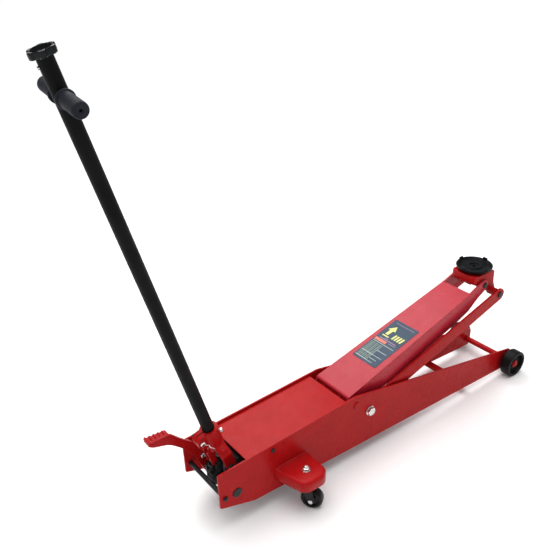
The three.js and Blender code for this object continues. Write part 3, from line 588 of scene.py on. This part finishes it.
pair("link_pivot_bolt_fine", link_bolt, "zinc_plate", about_y(LINK_REAR), "link_pivot_bolt")


def weld_at_cross_bar():
    return weld((987, -84.4, 33.2), (1013, -84.4, 33.2), 1.9)


pair("cross_bar_weld", weld_at_cross_bar, "red_paint", UPRIGHT, body="frame", sharp=60)

# ---------- front wheels ----------


def front_wheel():
    corner_radii = [
        0.5, 0.8, 1, 1, 0.6, 0.6, 1, 1.5, 1, 1, 1.4, 1.4, 0.5, 0.3, 0.5, 1.4, 1.4, 1, 2, 2, 1,
    ]
    return lathe([
        (8.4, -101), (8.4, -127), (16, -127), (17.5, -124.5), (24, -124.5), (24.8, -123.3), (33.5, -123.3),
        (34.5, -125), (37, -136), (39, -137), (44.8, -137), (47.3, -134.2), (47.3, -120.2), (46.9, -119),
        (47.3, -117.8), (47.3, -103.8), (44.8, -101), (38, -101), (35, -113), (16, -113), (16, -101),
    ], corner_radii, 96, closed=True)


pair("front_wheel_fine", front_wheel, "wheel_plastic", about_y(FRONT_AXLE), "front_wheel", sharp=40)

# ---------- casters ----------

PLATE_FACE = -PLATE_OUT - 0.3
BRACKET = (
    [(178, PLATE_FACE), (190, -128), (206, -180), (226, -190), (276, -190), (297, -170), (297, PLATE_FACE)],
    [0, 20, 14, 14, 16, 12, 0],
)
BRACKET_FOOT = 93
SHOULDER = 9
ROOT_RISE = 3.6
ROOT_REACH = 24


def inset(line, distance):
    """The line moved inwards, with both of its ends kept on the side plate's face."""
    last = len(line) - 1
    moved = []
    for i, p in enumerate(line):
        along = (line[min(i + 1, last)] - line[max(i - 1, 0)]).normalized()
        q = p + Vector((-along.y, along.x)) * distance
        if i in (0, last):
            q += along * ((PLATE_FACE - q.y) / along.y)
        moved.append(q)
    return moved


def root_flare(x, y, z):
    """Point of the bracket, raised where its top sweeps up to meet the side plate."""
    near = max(0.0, 1 - (PLATE_FACE - y) / ROOT_REACH)
    high = max(0.0, (z - BRACKET_FOOT) / (CASTER_TOP - BRACKET_FOOT))
    return (x, y, z + ROOT_RISE * near * near * high)


def caster_bracket():
    """Hollow-footed bracket with a soft shoulder, skinned from its foot up to the middle of its top."""
    outer = soften(*BRACKET, 8)
    steps = 6
    first = [outer[0].lerp(outer[1], k / steps) for k in range(steps)]
    last = [outer[-2].lerp(outer[-1], (k + 1) / steps) for k in range(steps)]
    outer = first + outer[1:-1] + last
    middle = Vector((CASTER_STUD[0], -CASTER_STUD[1]))
    levels = [
        (4.6, CASTER_TOP - 5), (4.6, BRACKET_FOOT + 0.5), (4.2, BRACKET_FOOT), (0.5, BRACKET_FOOT),
        (0, BRACKET_FOOT + 0.5),
    ]
    levels += [
        (SHOULDER * (1 - math.cos(a)), CASTER_TOP - SHOULDER * (1 - math.sin(a)))
        for a in (math.pi / 2 * k / 8 for k in range(9))
    ]
    rings = [[root_flare(p.x, p.y, z) for p in inset(outer, d)] for d, z in levels]
    shoulder = inset(outer, SHOULDER)
    for share in (0.15, 0.3, 0.5, 0.75):
        rings.append([root_flare(*p.lerp(middle, share), CASTER_TOP) for p in shoulder])
    return loft([[(*middle, CASTER_TOP - 5)]] + rings + [[(*middle, CASTER_TOP)]])


pair("caster_bracket_fine", caster_bracket, "red_paint", UPRIGHT, "caster_bracket", sharp=50)


def weld_at_bracket():
    return weld((189, -91.2, CASTER_TOP + ROOT_RISE - 0.6), (288, -91.2, CASTER_TOP + ROOT_RISE + 0.4), 3.3)


pair("bracket_weld", weld_at_bracket, "red_paint", UPRIGHT, body="frame", sharp=60)


def caster_stud():
    shape = lathe([
        (0, 74), (9, 74), (9, 80.6), (6, 80.6),
        (6, CASTER_TOP + 0.3), (12, CASTER_TOP + 0.3), (12, CASTER_TOP + 2.1), (6, CASTER_TOP + 2.1),
        *threads(6, CASTER_TOP + 3, CASTER_TOP + 13, 1.2), (5, CASTER_TOP + 14), (0, CASTER_TOP + 14),
    ], 0.4)
    return nut(18, CASTER_TOP + 2, CASTER_TOP + 9, shape, turn=0.3)


def caster_yoke():
    shape = lathe([
        (6.3, 81), (19, 81), (19, 93), (15.2, 93), (15.2, 95.5), (16.4, 96.2), (16.4, 99), (15, 99.8),
        (15, CASTER_TOP - 5.3), (6.3, CASTER_TOP - 5.3),
    ], 0.9, closed=True)
    fork = rounded(
        [(-11, 84), (-11, 76), (8, 32), (10, 22), (26, 22), (29, 32), (20, 84)],
        [0, 10, 9, 8, 8, 12, 0],
    )
    for low, high in ((16.5, 19.5), (-19.5, -16.5)):
        plate(fork, low, high, 0.8, shape, "y")
    return plate(rounded([(-14, -19.3), (21, -19.3), (21, 19.3), (-14, 19.3)], 6), 81.2, 84.8, 1.2, shape)


def caster_wheel():
    return lathe([
        (4.3, -16), (9, -16), (9.4, -9.6), (19.8, -9), (21.6, -14.4), (27.2, -15), (31.2, -10.4),
        (CASTER_R, -5), (CASTER_R, 5), (31.2, 10.4), (27.2, 15), (21.6, 14.4), (19.8, 9), (9.4, 9.6),
        (9, 16), (4.3, 16),
    ], 1.6, 72, closed=True)


def caster_axle():
    shape = lathe([
        (0, -24.5), (3, -24.5), (4, -23.6), (4, 23), (3.4, 23.6), (0, 23.6),
    ], 0.3)
    nut(12, 19.8, 25, shape)
    return nut(12, -23.5, -19.8, shape)


CASTER_AXLE = CASTER @ Matrix.Translation((CASTER_TRAIL, 0, CASTER_R)) @ TO_Y
pair("caster_stud_fine", caster_stud, "zinc_plate", CASTER, "caster_stud")
pair("caster_yoke_fine", caster_yoke, "black_steel", CASTER, "caster_yoke")
pair("caster_axle_fine", caster_axle, "zinc_plate", CASTER_AXLE, "caster_axle")
pair("caster_wheel_fine", caster_wheel, "caster_plastic", CASTER_AXLE, "caster_wheel", sharp=45)

# ---------- hydraulic unit ----------

ALONG_RAM = placed(0, 0, RAM_Z, TO_X)
piece("ram_cylinder_fine", lathe([
    (20, 130.5), (21.7, 130.5), (21.7, 151), (28, 151), (28, 356), (20, 356),
], 0.6, closed=True), "bright_steel", ALONG_RAM, ["ram_cylinder"])
piece("reservoir_shell_fine", lathe([
    (28.3, 151), (45, 151), (48, 154), (48, 186), (47.6, 187), (48, 188), (48, 308), (47.6, 309), (48, 310),
    (48, 343), (45, 346), (28.3, 346), (28.3, 340), (44, 340), (44, 156), (28.3, 156),
], 1.0, closed=True), "cast_body", ALONG_RAM, ["reservoir_shell"])
piece("gland_nut_fine", lathe([
    (14.3, 356.3), (30, 356.3), (30, 359), (29.2, 360), (30, 361), (30, 368),
    (27, 371), (18, 371), (17, 370), (14.3, 370),
], 0.5, closed=True), "bright_steel", ALONG_RAM, ["gland_nut"])
piece("ram_rod_fine", lathe([
    (0, 245), (18, 245), (19.7, 247), (19.7, 263), (18, 265), (14, 265), (14, 443.75), (10, 443.75),
    (10, 454.25), (0, 454.25),
], 0.6), "chrome_rod", ALONG_RAM, ["ram_rod"])
filler = lathe([(0, 176.5), (5, 176.5), (5, 180.4), (8, 180.4), (8, 181.4), (0, 181.4)], 0.3, centre=(230, 0))
piece("filler_plug_fine", nut(14, 181.2, 186, filler, (230, 0)), "bright_steel", UPRIGHT, ["filler_plug"])
piece("pump_piston_fine", lathe([
    (0, 143.1), (4.5, 143.1), (4.5, 162.1), (9.9, 162.1), (9.9, 166.1), (9, 167.1), (0, 167.1),
], 0.5, centre=(37, 0)), "black_steel", UPRIGHT, ["pump_piston"])

# ---------- lift arm ----------

piece("lever_pin_fine", lathe([
    (0, -43), (10, -43), (10, 38.3), (13, 38.3), (13, 43), (0, 43),
], 0.9), "bright_steel", about_y(LEVER_PIN), ["lever_pin"])
piece("saddle_bracket_pin_fine", lathe([
    (0, -61.5), (7.6, -61.5), (10, -59), (10, -56.8), (7, -56.8),
    (7, 56.8), (10, 56.8), (10, 59), (7.6, 61.5), (0, 61.5),
], 1.0), "black_steel", about_y(ARM_TIP), ["saddle_bracket_pin"])

ARM_TOP = (Vector((467.3, 221.7)), Vector((1006.6, 372.3)))
ARM_SLOPE = (ARM_TOP[1] - ARM_TOP[0]).normalized()
LABEL_FROM, LABEL_TO = 131, 328
LABEL_LEFT, LABEL_RIGHT = 51, -47
LABEL_W = LABEL_LEFT - LABEL_RIGHT
LABEL_H = LABEL_TO - LABEL_FROM
FILM_FOOT, FILM_TOP = 0.3, 0.75
INK_DEPTH = 0.12
LABEL_FOOT = ARM_TOP[0] + ARM_SLOPE * LABEL_FROM
# From the label's lower left corner, as seen from the handle, x runs across, y up the arm and z out.
ON_LABEL = placed(LABEL_FOOT.x, LABEL_LEFT, LABEL_FOOT.y, Matrix((
    (0, ARM_SLOPE.x, -ARM_SLOPE.y, 0),
    (-1, 0, 0, 0),
    (0, ARM_SLOPE.y, ARM_SLOPE.x, 0),
    (0, 0, 0, 1),
)))
label_loop = rounded([(0, 0), (LABEL_W, 0), (LABEL_W, LABEL_H), (0, LABEL_H)], 3)
label = plate(label_loop, FILM_FOOT, FILM_TOP, 0.15)
piece("label_plate_fine", label, "label_film", ON_LABEL, ["label_plate"])


def printed(name, ink, loops):
    """Flat printed shapes on the label, each a loop of (across, up) corners."""
    shape = bmesh.new()
    for loop in loops:
        plate([Vector(p) for p in loop], FILM_TOP, FILM_TOP + INK_DEPTH, 0.03, shape)
    piece(name, shape, "label_film", ON_LABEL, body="arm", look=INKS[ink], sharp=50)


def bar(left, right, low, high, slant=0.0):
    """Corners of a printed bar, leaning to the right by the slant at its top."""
    return [(left, low), (right, low), (right + slant, high), (left + slant, high)]


# A plain arrow over a bar stands where such a jack has its rating, and plain bars stand for lines of print.
arrow = [(17, 128), (29, 128), (31, 150), (40, 150), (29, 172), (10, 150), (19, 150)]
printed("label_arrow", "ink_yellow", [arrow, bar(12, 38, 119, 123.5, 1)])
printed("label_rating_bars", "ink_yellow", [
    bar(48 + 10.5 * k, 54.5 + 10.5 * k, 121, 143, 3) for k in range(4)
])
printed("label_warning_bar", "ink_coral", [bar(4, 50, 92, 103)])
printed("label_caption_bars", "ink_mauve", [
    bar(14, 82, 106, 109.5), bar(30, 44, 112, 114.5), bar(58, 86, 99, 101.5), bar(12, 88, 184, 186),
])
printed("label_lines", "ink_pale", [
    bar(5, 91, 86, 88.4), bar(50, 88, 58, 60.2), bar(5, 88, 36, 38), bar(5, 80, 22, 24), bar(5, 74, 9, 11),
])
printed("label_small_print", "ink_olive", [
    bar(5 + shift, 5 + shift + width, 6 + 5.6 * row + 5, 8.4 + 5.6 * row + 5)
    for row in range(13)
    for shift, width in ((0, 17), (19, 12), (33, 14))
])

# ---------- saddle bracket, saddle and links ----------


def saddle():
    shape = lathe([
        (0, 388.5), (8.5, 388.5), (10, 390), (10, 415.3), (25, 415.3), (28, 419.4), (50, 421.5),
        (58.6, 426.2), (59.5, 428), (59.5, 431.6), (58.4, 433), (55.4, 433), (53.8, 431.6), (50.6, 427.7),
        (27.5, 426), (25.4, 430), (17.4, 430), (15.6, 425.8), (6, 425.6), (5.2, 421), (0, 421),
    ], 1.1, 96)
    for degrees in (0, 90, 180, 270):
        lug = plate(rounded([(53, -8), (58.6, -8), (58.6, 8), (53, 8)], 1.4), 428.5, 438.5, 1.3)
        lug.transform(turned(degrees))
        absorb(shape, lug)
    return shape


piece("saddle_fine", saddle(), "saddle_iron", placed(SADDLE_X, 0, 0), ["saddle"])
piece("saddle_retaining_ring_fine", lathe([
    (10.3, 391), (14, 391), (14, 394), (10.3, 394),
], 0.5, closed=True), "bright_steel", placed(SADDLE_X, 0, 0), ["saddle_retaining_ring"])
piece("link_front_pin_fine", lathe([
    (0, -84.4), (11, -84.4), (11, -80.3), (7, -80.3), (7, 80.3), (11, 80.3), (11, 84.4), (0, 84.4),
], 1.2), "black_steel", about_y(LINK_FRONT), ["link_front_pin"])


def link_bar():
    return plate(capsule(LINK_REAR, 23.2, LINK_FRONT, 21.2), -80, -73.2, 1.0, way="y")


pair("link_fine", link_bar, "red_paint", UPRIGHT, "link")

# ---------- handle ----------

tube = lathe([
    (TUBE_BORE_R, 62.4), (TUBE_R, 62.4), (TUBE_R, TUBE_TOP), (TUBE_BORE_R, TUBE_TOP),
], 0.7, 96, closed=True)
stubs = lathe([(0, -106), (9.4, -106), (9.4, -13.8), (0, -13.8)], 0.4)
stubs = lathe([(0, 13.8), (9.4, 13.8), (9.4, 106), (0, 106)], 0.4, shape=stubs)
CROSSBAR = Matrix.Translation((0, 0, GRIP_HEIGHT)) @ turned(-GRIP_TURN) @ TO_Y
stubs.transform(CROSSBAR)
piece("handle_tube_fine", absorb(tube, stubs), "handle_paint", HANDLE, ["handle_tube"])


def grip():
    ribs = []
    for k in range(17):
        y = 37 + 4.1 * k
        swell = 0.012 * k
        ribs += [(16.0 + swell, y), (16.0 + swell, y + 2.6), (15.5 + swell, y + 3.2), (15.5, y + 3.6)]
    return lathe([
        (10, 20.5), (18.4, 20.5), (19.6, 22.5), (19.6, 26.4), (18.6, 28), (16.2, 29.4), (15.3, 31.6),
        (15.6, 34.6), *ribs, (16, 108.4), (14.6, 111.5),
        (6, 111.5), (5.4, 110.6), (3, 110.4), (3, 106.4), (10, 106.4),
    ], 0.5, 72, closed=True)


piece("grip_far_fine", grip(), "grip_rubber", HANDLE @ CROSSBAR, ["grip_far"], sharp=40)
piece(
    "grip_near_fine", grip(), "grip_rubber",
    HANDLE @ turned(180) @ CROSSBAR, ["grip_near"], sharp=40,
)


def knob():
    """Lobed knob with soft rims and a round recess in its top, skinned as one closed ring."""
    steps = 168
    foot_radius, top_radius = 2, 2.4
    arc = [math.pi / 2 * k / 5 for k in range(6)]

    def outline(shrink):
        ring = []
        for k in range(steps):
            angle = 2 * math.pi * k / steps
            wave = math.cos(KNOB_LOBES * (angle + math.radians(KNOB_TURN)))
            radius = KNOB_R - KNOB_DEPTH + KNOB_DEPTH * math.tanh(3 * wave) - shrink
            ring.append((radius * math.cos(angle), radius * math.sin(angle)))
        return ring

    def disc(radius):
        turns = [2 * math.pi * k / steps for k in range(steps)]
        return [(radius * math.cos(a), radius * math.sin(a)) for a in turns]

    rings = [[(*p, KNOB_BOTTOM) for p in disc(5.3)]]
    for a in arc:
        z = KNOB_BOTTOM + foot_radius * (1 - math.cos(a))
        rings.append([(*p, z) for p in outline(foot_radius * (1 - math.sin(a)))])
    for a in arc:
        z = KNOB_TOP - top_radius * (1 - math.sin(a))
        rings.append([(*p, z) for p in outline(top_radius * (1 - math.cos(a)))])
    recess = (
        (21.6, 0), (20.9, -0.3), (20.5, -1), (20.2, -8.4), (19.6, -9),
        (9, -9), (8.2, -8.6), (7.6, -7.8), (5.3, -7.8),
    )
    rings += [[(*p, KNOB_TOP + drop) for p in disc(radius)] for radius, drop in recess]
    return loft(rings, closed=True)


piece("release_knob_fine", knob(), "knob_plastic", HANDLE, ["release_knob"], sharp=50)
rod = lathe([
    (0, 11), (10, 11), (10, 14), (8, 14), (8, 26), (5, 26), (5, TUBE_TOP - 30), (11.5, TUBE_TOP - 30),
    (11.5, TUBE_TOP - 24), (5, TUBE_TOP - 24), (5, 1129.4), (0, 1129.4),
], 0.5)
for low, high in ((-9.4, -7), (7, 9.4)):
    plate(rounded([(-3.2, -3), (3.2, -3), (3.2, 12), (-3.2, 12)], 2), low, high, 0.4, rod, "y")
piece("release_rod_fine", rod, "bright_steel", HANDLE, ["release_rod"])

screw = lathe([
    (0, -21.4), (3.4, -20.4), (3.4, -16.8), (1.3, -16.8), (1.3, -14), (0, -14),
], 0.4, 32)
piece(
    "knob_screw_fine", screw, "zinc_plate",
    HANDLE @ Matrix.Translation((0, 0, KNOB_SCREW)) @ turned(-90) @ TO_Y, ["knob_screw"],
)

CLAMP = Matrix.Translation((-36, 0, 101)) @ TO_Y
clamp = lathe([
    (0, -22), (2.6, -22), (4, -20.4), (4, 28.4), (3.2, 30), (0, 30),
], 0.3, 48)
nut(13, -22, -16.4, clamp, turn=0.2)
piece("clamp_bolt_fine", clamp, "zinc_plate", HANDLE @ CLAMP, ["clamp_bolt"])
piece("clamp_nut_fine", nut(14, 16.4, 25), "black_steel", HANDLE @ CLAMP, ["clamp_nut"])
set_screw = nut(11, 26.3, 32.3)
lathe([(0, 19), (3.5, 19), (3.5, 26.4), (6.4, 26.4), (6.4, 27.2), (0, 27.2)], 0.3, shape=set_screw)
piece(
    "socket_set_screw_fine", set_screw, "zinc_plate",
    HANDLE @ Matrix.Translation((0, 0, 92)) @ turned(-110) @ TO_Y,
    ["socket_set_screw"],
)
latch = wire(smooth_line([
    (-30, -18.2, 94.2), (-27, -20.5, 90), (-22.5, -20.5, 86), (-22, -23, 79), (-17, -27, 74), (-14, -28, 66),
]), 1.1)
piece("latch_wire_fine", latch, "zinc_plate", HANDLE, ["latch_wire"], sharp=60)


def trunnion():
    shape = lathe([(0, -57), (5, -57), (6, -56), (6, -29.5), (0, -29.5)], 0.5)
    return nut(17, -56.2, -49.9, shape)


pair("trunnion_bolt_fine", trunnion, "black_steel", HANDLE @ TO_Y, "trunnion_bolt")
roller_x = -ROLLER_REACH * math.cos(math.radians(HANDLE_LEAN))
roller_z = ROLLER_REACH * math.sin(math.radians(HANDLE_LEAN))
roller = lathe([
    (0, -15), (4, -15), (4, -8.4), (8, -8.4), (8, 8.4), (4, 8.4), (4, 15), (0, 15),
], 0.5)
piece(
    "pump_roller_fine", roller, "black_steel",
    HANDLE @ Matrix.Translation((roller_x, 0, roller_z)) @ TO_Y, ["pump_roller"],
)

SPRING_X = 37
SPRING_LOW, SPRING_HIGH = 139.4, 160.8
SPRING_RADIUS, SPRING_WIRE, SPRING_TURNS = 7, 1, 4
SPRING_STEPS = 96
coil = []
for step in range(SPRING_STEPS + 1):
    share = step / SPRING_STEPS
    angle = 2 * math.pi * SPRING_TURNS * share
    level = SPRING_LOW + (SPRING_HIGH - SPRING_LOW) * share
    coil.append((SPRING_RADIUS * math.cos(angle), SPRING_RADIUS * math.sin(angle), level))
spring = piece(
    "pump_spring_fine", wire(coil, SPRING_WIRE), "black_steel",
    placed(SPRING_X, 0, 0), ["pump_spring"], sharp=60,
)
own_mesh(spring)


def shoulder_pad():
    """Raised boss with a small hole on the sloping shoulder of the handle yoke."""
    loop = rounded([(-9.5, -10.5), (9.5, -10.5), (9.5, 9.5), (-9.5, 9.5)], [2, 2, 8.5, 8.5])
    shape = plate(loop, -1.0, 2.3, 0.7)
    return lathe([(2.6, 2.0), (2.6, 3.0), (4.6, 3.0), (4.6, 2.0)], 0.3, 32, shape, closed=True)


# The pad lies on the sloping side of the yoke, and its z runs outwards.
PAD = Matrix((
    (1, 0, 0, 3.1),
    (0, 0.713, -0.701, -33.6),
    (0, 0.701, 0.713, 56.7),
    (0, 0, 0, 1),
))
pair("yoke_pad", shoulder_pad, "red_paint", HANDLE @ PAD, body="handle")

# ---------- foot pedal ----------

pedal = plate(rounded(
    [
        (-113, 280), (-114, 271), (-100, 262), (-56, 249), (-16, 214), (17, 166), (34.5, 126),
        (38, 108), (56, 100), (75, 110), (75, 130), (58, 138), (51, 160), (50, 174), (12, 222),
        (-14, 243), (-48, 278), (-60, 281),
    ],
    [2, 6, 12, 16, 30, 30, 14, 12, 16, 12, 12, 8, 8, 14, 30, 30, 8, 4], 5,
), 50, 57, 1.1, way="y")
plate(rounded(
    [(-113.4, 278.2), (-111.8, 268.8), (-99.6, 262.8), (-56.4, 250.8), (-48.5, 276), (-60, 275.4)],
    [2, 5, 8, 6, 4, 4], 4,
), 50.7, 80.5, 1.3, pedal, "y")
FIRST_RIB_X = -113
RIB_TOP, RIB_FALL = 282.5, 0.08
for rib_x in (FIRST_RIB_X, -100.5, -88, -75.5, -63):
    crest = RIB_TOP - (rib_x - FIRST_RIB_X) * RIB_FALL
    plate(rounded(
        [(rib_x, 270), (rib_x + 7, 270), (rib_x + 6.4, crest), (rib_x + 0.6, crest)], [0, 0, 2.6, 2.6], 4,
    ), 50.6, 80, 0.9, pedal, "y")
piece("foot_pedal_fine", pedal, "red_paint", UPRIGHT, ["foot_pedal"])
hub = lathe([(12.3, 46), (19, 46), (19, 72), (12.3, 72)], 1.2, closed=True)
piece("foot_pedal_hub", hub, "red_paint", about_y(MAIN_SHAFT), body="pedal")

PEDAL_BOLT = (39, 162.8)
pedal_bolt = lathe([
    (0, 45.6), (3.2, 45.6), (3.6, 43), (6.2, 43), (7.4, 44.3), (7.4, 49.7), (5, 49.7), (5, 60), (0, 60),
], 0.5)
piece("pedal_bolt_fine", pedal_bolt, "zinc_plate", about_y(PEDAL_BOLT), ["pedal_bolt"])

# ---------- studio ----------

FLOOR_SIZE = 40
floor_mesh = bpy.data.meshes.new("studio_floor")
half = FLOOR_SIZE / 2
floor_mesh.from_pydata(
    [(-half, -half, 0), (half, -half, 0), (half, half, 0), (-half, half, 0)], [], [(0, 1, 2, 3)],
)
floor = bpy.data.objects.new("studio_floor", floor_mesh)
bpy.context.collection.objects.link(floor)
paper, paper_tree, paper_shader = shader_nodes("studio_paper")
tone = remap(paper_tree, noise(paper_tree, 1.5), 0.3, 0.7, 0.0, 1.0)
PAPER, PAPER_SHADE = (0.97, 0.97, 0.97), (0.965, 0.965, 0.965)
paper_colour = mixed(paper_tree, tone, PAPER, PAPER_SHADE)
paper_tree.links.new(paper_colour, paper_shader.inputs["Base Color"])
paper_shader.inputs["Roughness"].default_value = 0.9
paper_shader.inputs["Specular IOR Level"].default_value = 0.1
paper_shader.inputs["Emission Color"].default_value = (1.0, 1.0, 1.0, 1)
paper_shader.inputs["Emission Strength"].default_value = 0.05
floor_mesh.materials.append(paper)

world = bpy.data.worlds.new("studio_world")
world.use_nodes = True
bpy.context.scene.world = world
sky = world.node_tree.nodes["Background"]
sky.inputs["Color"].default_value = (1.0, 1.0, 1.0, 1)
rays = world.node_tree.nodes.new("ShaderNodeLightPath")
# The camera sees plain white, and the model is lit by less of it.
SKY_LIGHT, SKY_SEEN = 0.38, 1.0
strength = remap(world.node_tree, rays.outputs["Is Camera Ray"], 0.0, 1.0, SKY_LIGHT, SKY_SEEN)
world.node_tree.links.new(strength, sky.inputs["Strength"])
bpy.context.scene.view_settings.view_transform = "Standard"


def softbox(name, place, aim, size, watts):
    """Rectangular area light at a place in metres, turned towards its aim."""
    light = bpy.data.lights.new(name, "AREA")
    light.shape = "RECTANGLE"
    light.size, light.size_y = size
    light.energy = watts
    made = bpy.data.objects.new(name, light)
    bpy.context.collection.objects.link(made)
    made.location = place
    made.rotation_euler = (Vector(aim) - Vector(place)).to_track_quat("-Z", "Y").to_euler()


softbox("key_light", (-0.5, 0.0, 3.6), (0, 0, 0.2), (2.8, 2.2), 24)
softbox("back_light", (0.68, 2.38, 3.0), (0.25, 0, 0.35), (2.2, 1.6), 50)
softbox("side_fill", (0.6, -3.6, 1.2), (0, 0, 0.25), (3.0, 1.4), 4)

ceiling_data = bpy.data.lights.new("ceiling_light", "SUN")
ceiling_data.energy = 2.02
ceiling_data.angle = math.radians(70)
ceiling = bpy.data.objects.new("ceiling_light", ceiling_data)
bpy.context.collection.objects.link(ceiling)
ceiling.rotation_euler = (math.radians(-8), math.radians(-6), 0)

# ---------- camera ----------

EYE = at(-672.17, -1254.09, 1474.66)
FORWARD = Vector((0.5335, 0.7020, -0.4718)).normalized()
ROLL = math.radians(-0.99)
level = FORWARD.cross(Vector((0, 0, 1))).normalized()
upward = level.cross(FORWARD)
right = level * math.cos(ROLL) + upward * math.sin(ROLL)
top = upward * math.cos(ROLL) - level * math.sin(ROLL)
camera_data = bpy.data.cameras.new("camera")
camera_data.lens = 44.86
camera_data.sensor_width = 36
camera_data.shift_x = -0.0017
camera_data.shift_y = 0.0068
camera_data.clip_start = 0.05
camera_data.clip_end = 60
camera = bpy.data.objects.new("camera", camera_data)
bpy.context.collection.objects.link(camera)
camera.matrix_world = Matrix.Translation(EYE) @ Matrix((right, top, -FORWARD)).transposed().to_4x4()
bpy.context.scene.camera = camera
